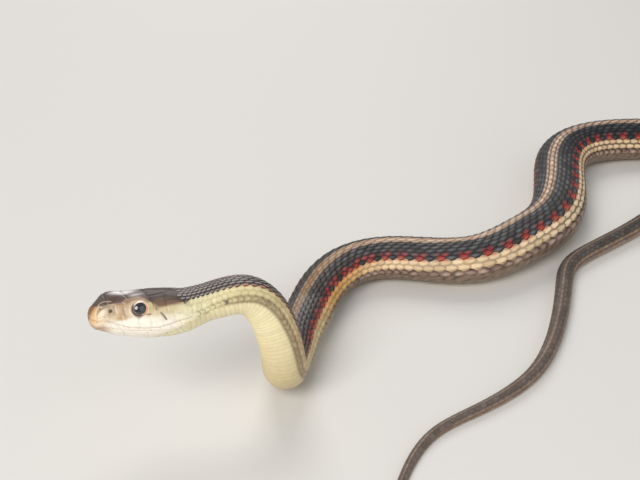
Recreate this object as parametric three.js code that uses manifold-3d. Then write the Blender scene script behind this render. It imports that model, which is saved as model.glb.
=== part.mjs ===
// A common garter snake of the red-sided form, life size, lying on the floor with its
// head and neck raised. Millimetres, +Z up, snout towards -X, floor at z = 0.
// The body is one smooth tube drawn along the spine, parted by thin cuts into
// head, lower jaw, neck, trunk and tail, with the two eyes set in their sockets.
import * as THREE from "three";
import { mergeVertices } from "three/addons/utils/BufferGeometryUtils.js";
import Module from "manifold-3d";

// Gap between neighbouring pieces, and how far a resting belly is pressed flat.
const GAP = 0.3;
const BELLY_PRESS = 0.25;

// The spine from the snout to the tail tip, as control points of a smooth curve.
// The raised head and neck have a height. The rest lies on the floor, so its
// height follows from its girth.
const RAISED_SPINE = [
  [-125.1, -52.7, 28.8],
  [-118.3, -50.4, 28.2],
  [-111.6, -48.2, 27.5],
  [-104.8, -45.9, 26.9],
  [-99.4, -44.5, 27.5],
  [-94.6, -43.0, 28.4],
  [-90.3, -42.7, 25.1],
  [-87.9, -43.4, 19.4],
  [-86.4, -45.1, 13.3],
  [-86.5, -43.1, 7.0],
  [-85.7, -36.4, 4.9],
];
const RESTING_SPINE = [
  [-84, -25.5],
  [-81, -16],
  [-78.2, -5],
  [-71.8, 5.6],
  [-60.5, 10],
  [-47.5, 6.5],
  [-35, 6],
  [-22.5, 16],
  [-11.4, 26],
  [-5.6, 41],
  [-3, 56],
  [1.5, 74],
  [14.5, 85.5],
  [39, 87.5],
  [65, 80.5],
  [93, 70],
  [112, 54],
  [121.5, 35],
  [111.5, 16],
  [88.5, 15.5],
  [70.5, 23.5],
  [51.5, 41],
  [31.5, 47],
  [16, 32],
  [0, 19.5],
  [-11, 11],
  [-14, -1.2],
  [-18.5, -15.4],
  [-23.2, -27],
  [-30, -38.5],
  [-43, -48.5],
  [-55, -54.8],
  [-61.5, -66.4],
  [-65.5, -79.5],
  [-64.5, -95],
];
// Which way the back points at each raised control point. It points up elsewhere.
const RAISED_BACK = [
  [-0.1, 0.55, 0.83],
  [-0.1, 0.55, 0.83],
  [-0.1, 0.56, 0.82],
  [-0.14, 0.58, 0.8],
  [-0.29, 0.53, 0.79],
  [0.07, 0.59, 0.89],
  [0.5, 0.93, 0.26],
  [0.38, 0.88, -0.12],
  [0.31, 1.07, -0.09],
  [-0.08, 0.6, 1.02],
  [0.02, -0.16, 0.99],
];

// Girth by distance from the snout: half width, rise above the spine, depth below it.
const GIRTH = [
  [0, 2.95, 3.2, 2.6],
  [1.5, 3.05, 3.35, 2.9],
  [3, 3.2, 4.2, 3.45],
  [5, 3.5, 4.5, 4.25],
  [8, 4.15, 4.3, 5.0],
  [10.5, 4.65, 4.35, 5.45],
  [13, 5.15, 4.35, 5.8],
  [16, 5.6, 4.15, 6.0],
  [18.5, 5.65, 4.0, 5.8],
  [21, 5.2, 4.0, 5.2],
  [24, 4.5, 4.2, 4.3],
  [27, 4.4, 4.4, 4.2],
  [31, 4.4, 4.4, 4.4],
  [40, 4.95, 4.75, 4.75],
  [48, 5.05, 4.85, 4.85],
  [60, 5.25, 5.0, 5.0],
  [72, 5.8, 5.3, 5.3],
  [100, 6.4, 5.5, 5.5],
  [118, 6.6, 5.65, 5.65],
  [148, 7.4, 6.3, 6.3],
  [165, 7.8, 6.6, 6.6],
  [200, 8.1, 6.8, 6.8],
  [260, 8.1, 6.85, 6.85],
  [320, 7.7, 6.6, 6.6],
  [380, 6.6, 5.75, 5.75],
  [420, 5.5, 5.0, 5.0],
  [450, 4.6, 4.35, 4.35],
  [466, 3.9, 3.75, 3.75],
  [476, 3.1, 3.05, 3.05],
  [490, 2.65, 2.65, 2.65],
  [505, 2.5, 2.5, 2.5],
  [535, 2.3, 2.3, 2.3],
  [565, 1.85, 1.85, 1.85],
  [595, 1.4, 1.4, 1.4],
  [620, 1.05, 1.05, 1.05],
  [647, 0.5, 0.5, 0.5],
];

// The head's own shape: blunt rounding of the snout, boxy section, lips as its widest line.
const HEAD_END = 24;
const NECK_BLEND = [18, 30];
const SNOUT_ROUNDING = { wide: 3.4, above: 4.2, below: 1.6 };
const HEAD_SQUARENESS = 0.5;
const LIP_LEVEL = -1.5;
const CROWN_TAPER = 0.2;
const CHIN_TAPER = 0.12;
const BROW = { at: 10, length: 2.6, angle: 1.0, spread: 0.24, rise: 0.3 };

// Mouth line in the head's side view: distance behind the snout, height over the axis.
const MOUTH_LINE = [
  [-2, -0.9],
  [0.2, -1.05],
  [1.9, -1.6],
  [5, -2.65],
  [8.6, -3.3],
  [11.7, -3.6],
  [14.7, -3.8],
  [17, -3.3],
  [20.5, -2.5],
];
const JAW_REAR = [21.3, -8.5];

const EYE = { along: 9.9, up: 0.3, aside: 3.75, radius: 1.65, flatness: 0.75 };
const NOSTRIL = { along: 4.2, up: 1.05, aside: 3.15, radius: 0.32, flatness: 1 };

// Where the cuts between the pieces lie, by distance from the snout.
const NECK_CUTS = [HEAD_END, 42, 61];
const TRUNK_CUTS = [61, 104, 150, 198, 248, 300, 352, 410, 468];
const TAIL_CUTS = [468, 512, 556, 600];

// How finely the faceted body is drawn.
const BODY_SIDES = 20;
const TAIL_SIDES = 14;
const CURVE_STEPS = 60;
const BOW = 0.25;

const wasm = await Module();
wasm.setup();

function finish(color, roughness) {
  return new THREE.MeshStandardMaterial({ color, roughness, metalness: 0 });
}
const headSkin = finish(0x5d5240, 0.45);
const jawSkin = finish(0xe9e0c4, 0.45);
const neckSkin = finish(0xcfc07c, 0.5);
const trunkSkin = finish(0x2f3436, 0.5);
const tailSkin = finish(0x4a4846, 0.5);
const eyeBall = finish(0x14110e, 0.05);

function step(from, to, value) {
  return THREE.MathUtils.smoothstep(value, from, to);
}

// Smooth curve through the rows of a table, read at one of its columns.
function readTable(table, value, column) {
  const last = table.length - 1;
  const at = THREE.MathUtils.clamp(value, table[0][0], table[last][0]);
  let row = 0;
  while (row < last - 1 && at > table[row + 1][0]) row += 1;
  const slope = (i) => {
    const a = table[Math.max(i - 1, 0)];
    const b = table[Math.min(i + 1, last)];
    return (b[column] - a[column]) / (b[0] - a[0]);
  };
  const from = table[row];
  const to = table[row + 1];
  const run = to[0] - from[0];
  const u = (at - from[0]) / run;
  const v = 1 - u;
  return (
    v * v * (1 + 2 * u) * from[column] +
    u * u * (1 + 2 * v) * to[column] +
    u * v * v * run * slope(row) -
    u * u * v * run * slope(row + 1)
  );
}

// Point of a uniform cubic B-spline whose ends lie on its first and last control points.
function splinePoint(controls, t) {
  const last = controls.length - 1;
  const i = Math.min(Math.floor(t), last - 1);
  const u = t - i;
  const before = i > 0 ? controls[i - 1] : mirrored(controls[0], controls[1]);
  const after = i < last - 1 ? controls[i + 2] : mirrored(controls[last], controls[last - 1]);
  return new THREE.Vector3()
    .addScaledVector(before, (1 - u) ** 3 / 6)
    .addScaledVector(controls[i], (3 * u ** 3 - 6 * u ** 2 + 4) / 6)
    .addScaledVector(controls[i + 1], (-3 * u ** 3 + 3 * u ** 2 + 3 * u + 1) / 6)
    .addScaledVector(after, u ** 3 / 6);
}

function mirrored(centre, point) {
  return centre.clone().multiplyScalar(2).sub(point);
}

// Control points of the whole spine, the resting ones set at the height of a pressed belly.
function spineControls() {
  const points = RAISED_SPINE.map((p) => new THREE.Vector3(...p));
  let distance = 0;
  for (let i = 1; i < points.length; i += 1) distance += points[i].distanceTo(points[i - 1]);
  for (const [x, y] of RESTING_SPINE) {
    const previous = points[points.length - 1];
    distance += Math.hypot(x - previous.x, y - previous.y);
    const height = readTable(GIRTH, distance, 3) - BELLY_PRESS;
    points.push(new THREE.Vector3(x, y, Math.max(height, BELLY_PRESS)));
  }
  return points;
}

const spine = spineControls();
const backs = spine.map((_, i) => new THREE.Vector3(...(RAISED_BACK[i] ?? [0, 0, 1])));

// The spine sampled finely, with the distance from the snout at each sample.
const samples = [];
for (let i = 0; i <= (spine.length - 1) * CURVE_STEPS; i += 1) {
  const t = i / CURVE_STEPS;
  const point = splinePoint(spine, t);
  const previous = samples[samples.length - 1];
  const distance = previous ? previous.distance + point.distanceTo(previous.point) : 0;
  samples.push({ t, point, distance });
}
const LENGTH = samples[samples.length - 1].distance;

function curveParameter(distance) {
  const at = THREE.MathUtils.clamp(distance, 0, LENGTH);
  let low = 0;
  let high = samples.length - 1;
  while (high - low > 1) {
    const middle = (low + high) >> 1;
    if (samples[middle].distance <= at) low = middle;
    else high = middle;
  }
  const share = (at - samples[low].distance) / (samples[high].distance - samples[low].distance);
  return samples[low].t + share * (samples[high].t - samples[low].t);
}

// Place on the spine, with the directions towards the head, the back and the left flank.
function station(distance) {
  const t = curveParameter(distance);
  const ahead = splinePoint(spine, curveParameter(distance - BOW));
  const behind = splinePoint(spine, curveParameter(distance + BOW));
  const forward = ahead.sub(behind).normalize();
  const back = splinePoint(backs, t);
  back.addScaledVector(forward, -back.dot(forward)).normalize();
  const left = new THREE.Vector3().crossVectors(back, forward);
  return { centre: splinePoint(spine, t), forward, back, left };
}

function snoutRounding(distance, length) {
  const short = 1 - Math.min(distance / length, 1);
  return Math.sqrt(1 - short * short);
}

function bell(value, centre, spread) {
  return Math.exp(-(((value - centre) / spread) ** 2));
}

// Point of the cross-section, aside and up from the spine, at an angle from the back.
function sectionPoint(distance, angle) {
  const head = 1 - step(NECK_BLEND[0], NECK_BLEND[1], distance);
  const wide = readTable(GIRTH, distance, 1) * snoutRounding(distance, SNOUT_ROUNDING.wide);
  const above = readTable(GIRTH, distance, 2) * snoutRounding(distance, SNOUT_ROUNDING.above);
  const below = readTable(GIRTH, distance, 3) * snoutRounding(distance, SNOUT_ROUNDING.below);
  const power = 2 / (2 + HEAD_SQUARENESS * head);
  const across = Math.sign(Math.sin(angle)) * Math.abs(Math.sin(angle)) ** power;
  const height = Math.sign(Math.cos(angle)) * Math.abs(Math.cos(angle)) ** power;
  const level = LIP_LEVEL * head * snoutRounding(distance, SNOUT_ROUNDING.wide);
  const taper =
    CROWN_TAPER * head * Math.max(height, 0) ** 2 + CHIN_TAPER * head * Math.max(-height, 0) ** 3;
  const fold = Math.abs(Math.atan2(Math.sin(angle), Math.cos(angle)));
  const brow =
    BROW.rise * bell(distance, BROW.at, BROW.length) * bell(fold, BROW.angle, BROW.spread);
  return {
    aside: (wide * (1 - taper) + brow) * across,
    up: height > 0 ? level + height * (above - level) : level + height * (below + level),
  };
}

// One ring of points round the body, kept above the floor.
function ring(distance, sides) {
  const { centre, back, left } = station(distance);
  const points = [];
  for (let i = 0; i < sides; i += 1) {
    const { aside, up } = sectionPoint(distance, ((i + 0.5) / sides) * 2 * Math.PI);
    const point = centre.clone().addScaledVector(left, aside).addScaledVector(back, up);
    point.z = Math.max(point.z, 0);
    points.push(point);
  }
  return points;
}

function middleOf(points) {
  const middle = new THREE.Vector3();
  for (const point of points) middle.addScaledVector(point, 1 / points.length);
  return middle;
}

// Closed solid drawn through rings at the given distances, with a flat or pointed front.
function bodySolid(distances, sides, tip) {
  const rings = distances.map((distance) => ring(distance, sides));
  const points = [tip ?? middleOf(rings[0]), ...rings.flat(), middleOf(rings[rings.length - 1])];
  const faces = [];
  const at = (row, i) => 1 + row * sides + (i % sides);
  for (let i = 0; i < sides; i += 1) {
    faces.push(0, at(0, i + 1), at(0, i));
    for (let row = 0; row < rings.length - 1; row += 1) {
      faces.push(at(row, i), at(row, i + 1), at(row + 1, i));
      faces.push(at(row, i + 1), at(row + 1, i + 1), at(row + 1, i));
    }
    faces.push(points.length - 1, at(rings.length - 1, i), at(rings.length - 1, i + 1));
  }
  const geometry = new THREE.BufferGeometry().setFromPoints(points);
  geometry.setIndex(faces);
  return geometry;
}

// Even distances between two cuts, half a gap short of each.
function spacing(from, to, longest) {
  const start = from + GAP / 2;
  const end = to - GAP / 2;
  const count = Math.ceil((end - start) / longest);
  return Array.from({ length: count + 1 }, (_, i) => start + ((end - start) * i) / count);
}

function solid(geometry) {
  const bare = geometry.clone();
  bare.deleteAttribute("normal");
  bare.deleteAttribute("uv");
  const merged = mergeVertices(bare, 1e-4);
  return new wasm.Manifold(
    new wasm.Mesh({
      numProp: 3,
      vertProperties: new Float32Array(merged.attributes.position.array),
      triVerts: new Uint32Array(merged.index.array),
    }),
  );
}

function geometryOf(cut) {
  const { vertProperties, triVerts } = cut.getMesh();
  const geometry = new THREE.BufferGeometry();
  geometry.setAttribute("position", new THREE.BufferAttribute(vertProperties, 3));
  geometry.setIndex(new THREE.BufferAttribute(triVerts, 1));
  geometry.computeVertexNormals();
  return geometry;
}

function piece(name, geometry, material) {
  const mesh = new THREE.Mesh(geometry, material);
  mesh.name = name;
  return mesh;
}

// The head's own frame: distance behind the snout, height over the axis, distance to the left.
const headPlace = station(EYE.along);
const snout = headPlace.centre.clone().addScaledVector(headPlace.forward, EYE.along);
const headFrame = new THREE.Matrix4()
  .makeBasis(headPlace.forward.clone().negate(), headPlace.back, headPlace.left)
  .setPosition(snout);

// Solid region of the lower jaw, under the mouth line and ahead of its rear end.
function jawRegion(offset) {
  const outline = MOUTH_LINE.map(([along, up]) => new THREE.Vector2(along, up + offset));
  outline[outline.length - 1].x += offset;
  outline.push(new THREE.Vector2(JAW_REAR[0] + offset, JAW_REAR[1]));
  outline.push(new THREE.Vector2(MOUTH_LINE[0][0], JAW_REAR[1]));
  const width = 16;
  const region = new THREE.ExtrudeGeometry(new THREE.Shape(outline), {
    depth: width,
    bevelEnabled: false,
  });
  region.translate(0, 0, -width / 2);
  return solid(region.applyMatrix4(headFrame));
}

function ball(radius, flatness) {
  return new THREE.SphereGeometry(radius, 16, 12).scale(1, 1, flatness);
}

function ballTool(place, growth, side) {
  const tool = ball(place.radius + growth, place.flatness);
  tool.translate(place.along, place.up, side * place.aside);
  return solid(tool.applyMatrix4(headFrame));
}

function buildHead() {
  const distances = [0.06, 0.25, 0.6, 1.1, 1.8, 2.7, 3.8, 5];
  while (distances[distances.length - 1] < HEAD_END - 1.5) {
    distances.push(distances[distances.length - 1] + 1.35);
  }
  distances.push(HEAD_END - GAP / 2);
  const whole = solid(bodySolid(distances, BODY_SIDES + 4, snout));
  let upper = whole.subtract(jawRegion(GAP / 2));
  for (const side of [1, -1]) {
    upper = upper.subtract(ballTool(EYE, GAP, side));
    upper = upper.subtract(ballTool(NOSTRIL, 0, side));
  }
  const lower = whole.intersect(jawRegion(-GAP / 2));
  return [
    piece("head", geometryOf(upper), headSkin),
    piece("lower_jaw", geometryOf(lower), jawSkin),
  ];
}

// The eyes hang in a group that stands in the head's frame.
function buildEyes() {
  const eyes = new THREE.Group();
  eyes.applyMatrix4(headFrame);
  for (const [name, side] of [
    ["eye_left", 1],
    ["eye_right", -1],
  ]) {
    const eye = piece(name, ball(EYE.radius, EYE.flatness), eyeBall);
    eye.position.set(EYE.along, EYE.up, side * EYE.aside);
    eyes.add(eye);
  }
  return eyes;
}

// A run of pieces between successive cuts, named by a stem and a number.
function buildRun(stem, cuts, sides, longest, material) {
  return cuts.slice(1).map((end, i) => {
    const geometry = bodySolid(spacing(cuts[i], end, longest), sides);
    geometry.computeVertexNormals();
    return piece(`${stem}_${i + 1}`, geometry, material);
  });
}

const snake = new THREE.Group();
snake.add(...buildHead(), buildEyes());
snake.add(...buildRun("neck", NECK_CUTS, BODY_SIDES, 2, neckSkin));
snake.add(...buildRun("trunk", TRUNK_CUTS, BODY_SIDES, 4.6, trunkSkin));
snake.add(...buildRun("tail", [...TAIL_CUTS, LENGTH + GAP / 2], TAIL_SIDES, 4.6, tailSkin));

export default snake;
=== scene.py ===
import bpy
import numpy as np
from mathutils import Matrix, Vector
from mathutils.kdtree import KDTree


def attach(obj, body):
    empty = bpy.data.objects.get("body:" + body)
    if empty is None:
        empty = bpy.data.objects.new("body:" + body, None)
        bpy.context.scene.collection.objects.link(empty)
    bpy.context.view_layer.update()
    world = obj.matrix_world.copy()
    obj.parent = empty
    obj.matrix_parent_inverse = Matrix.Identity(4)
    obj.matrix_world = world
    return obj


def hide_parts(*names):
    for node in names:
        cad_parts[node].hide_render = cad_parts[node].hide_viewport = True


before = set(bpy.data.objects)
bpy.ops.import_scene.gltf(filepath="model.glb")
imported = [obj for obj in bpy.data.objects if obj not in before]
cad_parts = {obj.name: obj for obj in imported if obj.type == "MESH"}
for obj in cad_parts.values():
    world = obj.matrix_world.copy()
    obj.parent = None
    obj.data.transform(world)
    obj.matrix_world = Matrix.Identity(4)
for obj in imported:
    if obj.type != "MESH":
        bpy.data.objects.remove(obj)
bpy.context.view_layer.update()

# Skin. The snake's whole hide: soft skin under the scales, thin horny plates on the head, and
# one bare horny point at the end of the tail. It is one closed piece, drawn in millimetres
# round the spine and then set in metres, and the eyes and all the scales are set in it.
MM = 0.001
RAISED_SPINE = [
    (-125.1, -52.7, 28.8),
    (-118.3, -50.4, 28.2),
    (-111.6, -48.2, 27.5),
    (-104.8, -45.9, 26.9),
    (-99.4, -44.5, 27.5),
    (-94.6, -43.0, 28.4),
    (-90.3, -42.7, 25.1),
    (-87.9, -43.4, 19.4),
    (-86.4, -45.1, 13.3),
    (-86.5, -43.1, 7.0),
    (-85.7, -36.4, 4.9),
]
RESTING_SPINE = [
    (-84, -25.5),
    (-81, -16),
    (-78.2, -5),
    (-71.8, 5.6),
    (-60.5, 10),
    (-47.5, 6.5),
    (-35, 6),
    (-22.5, 16),
    (-11.4, 26),
    (-5.6, 41),
    (-3, 56),
    (1.5, 74),
    (14.5, 85.5),
    (39, 87.5),
    (65, 80.5),
    (93, 70),
    (112, 54),
    (121.5, 35),
    (111.5, 16),
    (88.5, 15.5),
    (70.5, 23.5),
    (51.5, 41),
    (31.5, 47),
    (16, 32),
    (0, 19.5),
    (-11, 11),
    (-14, -1.2),
    (-18.5, -15.4),
    (-23.2, -27),
    (-30, -38.5),
    (-43, -48.5),
    (-55, -54.8),
    (-61.5, -66.4),
    (-65.5, -79.5),
    (-64.5, -95),
]
# Which way the back points at each raised control point. It points up elsewhere.
RAISED_BACK = [
    (-0.1, 0.55, 0.83),
    (-0.1, 0.55, 0.83),
    (-0.1, 0.56, 0.82),
    (-0.14, 0.58, 0.8),
    (-0.29, 0.53, 0.79),
    (0.07, 0.59, 0.89),
    (0.5, 0.93, 0.26),
    (0.38, 0.88, -0.12),
    (0.31, 1.07, -0.09),
    (-0.08, 0.6, 1.02),
    (0.02, -0.16, 0.99),
]
# Girth by distance from the snout: half width, rise above the spine, depth below it.
GIRTH = np.array([
    (0, 2.95, 3.2, 2.6),
    (1.5, 3.05, 3.35, 2.9),
    (3, 3.2, 4.2, 3.45),
    (5, 3.5, 4.5, 4.25),
    (8, 4.15, 4.3, 5.0),
    (10.5, 4.65, 4.35, 5.45),
    (13, 5.15, 4.35, 5.8),
    (16, 5.6, 4.15, 6.0),
    (18.5, 5.65, 4.0, 5.8),
    (21, 5.2, 4.0, 5.2),
    (24, 4.5, 4.2, 4.3),
    (27, 4.4, 4.4, 4.2),
    (31, 4.4, 4.4, 4.4),
    (40, 4.95, 4.75, 4.75),
    (48, 5.05, 4.85, 4.85),
    (60, 5.25, 5.0, 5.0),
    (72, 5.8, 5.3, 5.3),
    (100, 6.4, 5.5, 5.5),
    (118, 6.6, 5.65, 5.65),
    (148, 7.4, 6.3, 6.3),
    (165, 7.8, 6.6, 6.6),
    (200, 8.1, 6.8, 6.8),
    (260, 8.1, 6.85, 6.85),
    (320, 7.7, 6.6, 6.6),
    (380, 6.6, 5.75, 5.75),
    (420, 5.5, 5.0, 5.0),
    (450, 4.6, 4.35, 4.35),
    (466, 3.9, 3.75, 3.75),
    (476, 3.1, 3.05, 3.05),
    (490, 2.65, 2.65, 2.65),
    (505, 2.5, 2.5, 2.5),
    (535, 2.3, 2.3, 2.3),
    (565, 1.85, 1.85, 1.85),
    (595, 1.4, 1.4, 1.4),
    (620, 1.05, 1.05, 1.05),
    (647, 0.5, 0.5, 0.5),
])
BELLY_PRESS = 0.25
CURVE_STEPS = 60
BOW = 0.25
HEAD_SQUARENESS = 0.5
SNOUT_ROUNDING = (3.4, 4.2, 1.6)
NECK_BLEND = (18, 30)
LIP_LEVEL = -1.5
CROWN_TAPER = 0.2
CHIN_TAPER = 0.12
TAIL_TIP_ROUNDING = 0.8
BROW_SWELL = 0.3
BROW_PLACE = (10, 2.6)
BROW_TURN = (1.0, 0.24)


def step(low, high, value):
    """Smooth share of the way from a low value to a high one."""
    share = np.clip((value - low) / (high - low), 0, 1)
    return share * share * (3 - 2 * share)


def bell(value, centre, spread):
    """Smooth share that is 1 at the centre and fades away on both sides."""
    return np.exp(-(((value - centre) / spread) ** 2))


def read_table(table, value, column):
    """Smooth curve through the rows of a table, read at one of its columns."""
    at = np.clip(value, table[0, 0], table[-1, 0])
    row = np.clip(np.searchsorted(table[:, 0], at) - 1, 0, len(table) - 2)
    before = np.maximum(np.arange(len(table)) - 1, 0)
    after = np.minimum(np.arange(len(table)) + 1, len(table) - 1)
    rise = table[after, column] - table[before, column]
    slope = rise / (table[after, 0] - table[before, 0])
    run = table[row + 1, 0] - table[row, 0]
    u = (at - table[row, 0]) / run
    v = 1 - u
    ends = v * v * (1 + 2 * u) * table[row, column] + u * u * (1 + 2 * v) * table[row + 1, column]
    return ends + u * v * run * (v * slope[row] - u * slope[row + 1])


def spline_point(controls, t):
    """Point of a uniform cubic B-spline whose ends lie on its first and last control points."""
    first = 2 * controls[0] - controls[1]
    last = 2 * controls[-1] - controls[-2]
    points = np.vstack([first, controls, last])
    i = np.clip(np.floor(t).astype(int), 0, len(controls) - 2)
    u = (t - i)[..., None]
    return (
        points[i] * (1 - u) ** 3
        + points[i + 1] * (3 * u**3 - 6 * u**2 + 4)
        + points[i + 2] * (-3 * u**3 + 3 * u**2 + 3 * u + 1)
        + points[i + 3] * u**3
    ) / 6


def spine_controls():
    """Control points of the spine, the resting ones at the height of a pressed belly."""
    points = [np.array(p, float) for p in RAISED_SPINE]
    distance = sum(np.linalg.norm(b - a) for a, b in zip(points, points[1:]))
    for x, y in RESTING_SPINE:
        distance += np.hypot(x - points[-1][0], y - points[-1][1])
        height = read_table(GIRTH, distance, 3) - BELLY_PRESS
        points.append(np.array([x, y, max(height, BELLY_PRESS)]))
    return np.array(points)


SPINE = spine_controls()
BACKS = np.vstack([RAISED_BACK, np.tile((0.0, 0.0, 1.0), (len(RESTING_SPINE), 1))])
curve_t = np.arange((len(SPINE) - 1) * CURVE_STEPS + 1) / CURVE_STEPS
curve_steps = np.linalg.norm(np.diff(spline_point(SPINE, curve_t), axis=0), axis=1)
curve_distance = np.concatenate([[0], np.cumsum(curve_steps)])
LENGTH = curve_distance[-1]


def station(distance):
    """Place on the spine, with the directions towards the head, the back and the left flank."""
    t = np.interp(distance, curve_distance, curve_t)
    ahead = spline_point(SPINE, np.interp(distance - BOW, curve_distance, curve_t))
    behind = spline_point(SPINE, np.interp(distance + BOW, curve_distance, curve_t))
    forward = ahead - behind
    forward /= np.linalg.norm(forward, axis=-1, keepdims=True)
    back = spline_point(BACKS, t)
    back -= (back * forward).sum(-1, keepdims=True) * forward
    back /= np.linalg.norm(back, axis=-1, keepdims=True)
    return spline_point(SPINE, t), forward, back, np.cross(back, forward)


def rounded(distance, length):
    """Rise of a round end over its length, from 0 at the tip."""
    return np.sqrt(1 - (1 - np.clip(distance / length, 0, 1)) ** 2)


def folded(angle):
    """Angle from the back, the same on both sides."""
    return np.abs(np.arctan2(np.sin(angle), np.cos(angle)))


def section(distance, angle):
    """Point of the cross-section, aside and up from the spine, at an angle from the back."""
    head = 1 - step(*NECK_BLEND, distance)
    tip = rounded(LENGTH - distance, TAIL_TIP_ROUNDING)
    wide, above, below = (
        read_table(GIRTH, distance, column + 1) * rounded(distance, length) * tip
        for column, length in enumerate(SNOUT_ROUNDING)
    )
    power = 2 / (2 + HEAD_SQUARENESS * head)
    across = np.sign(np.sin(angle)) * np.abs(np.sin(angle)) ** power
    height = np.sign(np.cos(angle)) * np.abs(np.cos(angle)) ** power
    level = LIP_LEVEL * head * rounded(distance, SNOUT_ROUNDING[0])
    crown = CROWN_TAPER * head * np.maximum(height, 0) ** 2
    chin = CHIN_TAPER * head * np.maximum(-height, 0) ** 3
    brow = BROW_SWELL * bell(distance, *BROW_PLACE) * bell(folded(angle), *BROW_TURN)
    aside = (wide * (1 - crown - chin) + brow) * across
    return aside, level + height * np.where(height > 0, above - level, below + level)


# Where the coat of scales begins, by angle from the back in degrees, and how deep it lies.
COAT_START = np.array([
    (0, 16.6),
    (60, 17.4),
    (85, 18.4),
    (100, 20.6),
    (118, 20.8),
    (128, 15.5),
    (150, 12.4),
    (180, 12.0),
])
COAT_EASE = 2.5
COAT_DEPTH = 0.3
FULL_COAT_HALF_WIDTH = 4.5
LEAST_COAT = 0.25
FLOOR_CLEARANCE = 0.02
PRESSED_COAT = 0.14
TURN_STEP = 0.01


def coat_start(angle):
    """Distance from the snout at which the head's plates give way to scales."""
    return np.interp(np.degrees(folded(angle)), *COAT_START.T)


def coat_size(distance):
    """Thickness of the coat against the thickest, by the body's width."""
    return np.clip(read_table(GIRTH, distance, 1) / FULL_COAT_HALF_WIDTH, LEAST_COAT, 1)


def on_body(distance, angle, height):
    """Point at a height over the skin, by distance from the snout and angle from the back."""
    centre, _, back, left = station(distance)
    aside, up = section(distance, angle)
    aside_on, up_on = section(distance, angle + TURN_STEP)
    out = np.stack([up - up_on, aside_on - aside])
    out /= np.maximum(np.linalg.norm(out, axis=0), 1e-9)
    start = coat_start(angle)
    lift = height - COAT_DEPTH * coat_size(distance) * step(start, start + COAT_EASE, distance)
    point = centre + left * (aside + out[0] * lift)[..., None] + back * (up + out[1] * lift)[..., None]
    # Pressed on the floor, each layer of the coat still lies under the one inside it.
    lowest = FLOOR_CLEARANCE + np.maximum(PRESSED_COAT - height, 0)
    point[..., 2] = np.maximum(point[..., 2], lowest)
    return point


# Seams between the head plates of one side: distance behind the snout, and distance round
# the head from the middle of the crown, or, where negative, from the middle of the throat.
PLATE_SEAMS = {
    "rostral": [(0.95, 0), (1.2, 1.3), (1.87, 2.45), (1.6, 3.9), (1.4, 5.1)],
    "canthus": [(1.87, 2.45), (2.6, 3.95), (3.9, 4.3), (5.2, 4.4), (6.9, 4.6)],
    "between internasals": [(0.95, 0), (3.5, 0)],
    "behind internasals": [(3.5, 0), (3.3, 1.6), (3.7, 3.1), (3.9, 4.3)],
    "between prefrontals": [(3.5, 0), (6.5, 0)],
    "behind prefrontals": [(6.5, 0), (6.9, 1.35), (7.3, 2.6), (7.9, 3.9)],
    "side of frontal": [(6.9, 1.35), (9.0, 1.1), (10.7, 1.25)],
    "rear of frontal": [(10.7, 1.25), (11.6, 0)],
    "behind supraocular": [(10.7, 1.25), (11.2, 2.6), (11.5, 4.1)],
    "between parietals": [(11.6, 0), (16.7, 0)],
    "side of parietal": [(11.5, 4.1), (13.2, 4.2), (15.2, 3.6), (16.9, 2.0), (16.7, 0)],
    "behind nasal": [(5.2, 4.4), (5.1, 5.4), (5.3, 6.7)],
    "through nasal": [(4.2, 4.35), (4.3, 5.5), (4.1, 6.5)],
    "behind loreal": [(6.9, 4.6), (6.8, 5.8), (7.1, 7.1)],
    "over lips": [(1.5, 4.6), (3.2, 6.2), (5.3, 6.7), (7.1, 7.1), (8.6, 8.0), (9.6, 8.25)],
    "over lips behind eye": [(9.6, 8.25), (12.3, 8.3), (15.3, 8.5), (18.4, 9.0), (20.2, 9.9)],
    "behind postoculars": [(11.5, 4.1), (12.4, 5.2), (12.7, 6.6), (12.3, 8.3)],
    "upper postocular": [(11.2, 5.5), (12.5, 5.4)],
    "lower postocular": [(11.3, 6.9), (12.7, 6.8)],
    "behind temporal": [(15.2, 3.6), (15.0, 5.8), (15.3, 8.5)],
    "between rear temporals": [(15.0, 5.8), (17.9, 5.9)],
    "behind rear temporals": [(16.9, 2.0), (17.7, 3.6), (17.9, 5.9), (18.4, 9.0)],
    "under lower lips": [(1.3, -1.1), (3.0, -2.6), (6.0, -3.3), (10, -3.9), (14, -4.3), (19, -5.2)],
    "mental": [(1.3, -1.1), (1.9, 17)],
    "throat groove": [(1.9, 17), (11.0, 17)],
    "behind first chin shields": [(6.3, 17), (6.8, -1.6), (6.4, -3.3)],
    "behind second chin shields": [(11.0, 17), (11.7, -1.4), (11.0, -4.0)],
}
UPPER_LIP_SEAMS = [(3.2, 6.2), (6.3, 6.95), (9.4, 8.2), (11.7, 8.3), (14.0, 8.4), (16.4, 8.7)]
LOWER_LIP_SEAMS = [2.4, 3.9, 5.5, 7.3, 9.3, 11.4, 13.5, 15.6, 17.6]
MOUTH = np.array([
    (0, 0.3), (0.12, 1.4), (0.5, 3.2), (1.43, 5.2), (3.1, 7.1), (5.2, 8.5), (7.7, 9.75),
    (10.6, 10.8), (13.4, 11.3), (15.6, 10.9), (18.9, 10.2), (20.4, 9.9),
])
UPPER_LIP_SLANT = 0.35
LOWER_LIP_SLANT = 0.5
SEAM_STEP = 0.07
ARC_STEPS = 240


def arc_lengths(distance, angle):
    """Lengths round the head from the first angle of each ring of a grid."""
    aside, up = section(distance, angle)
    pieces = np.hypot(np.diff(aside, axis=1), np.diff(up, axis=1))
    return np.concatenate([np.zeros((len(distance), 1)), np.cumsum(pieces, axis=1)], axis=1)


def head_arcs(distance):
    """Angles round half a section from the back to the throat, and the arc lengths to them."""
    angle = np.linspace(0, np.pi, ARC_STEPS)[None, :]
    return angle[0], arc_lengths(distance[:, None] + 0 * angle, angle)


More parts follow.
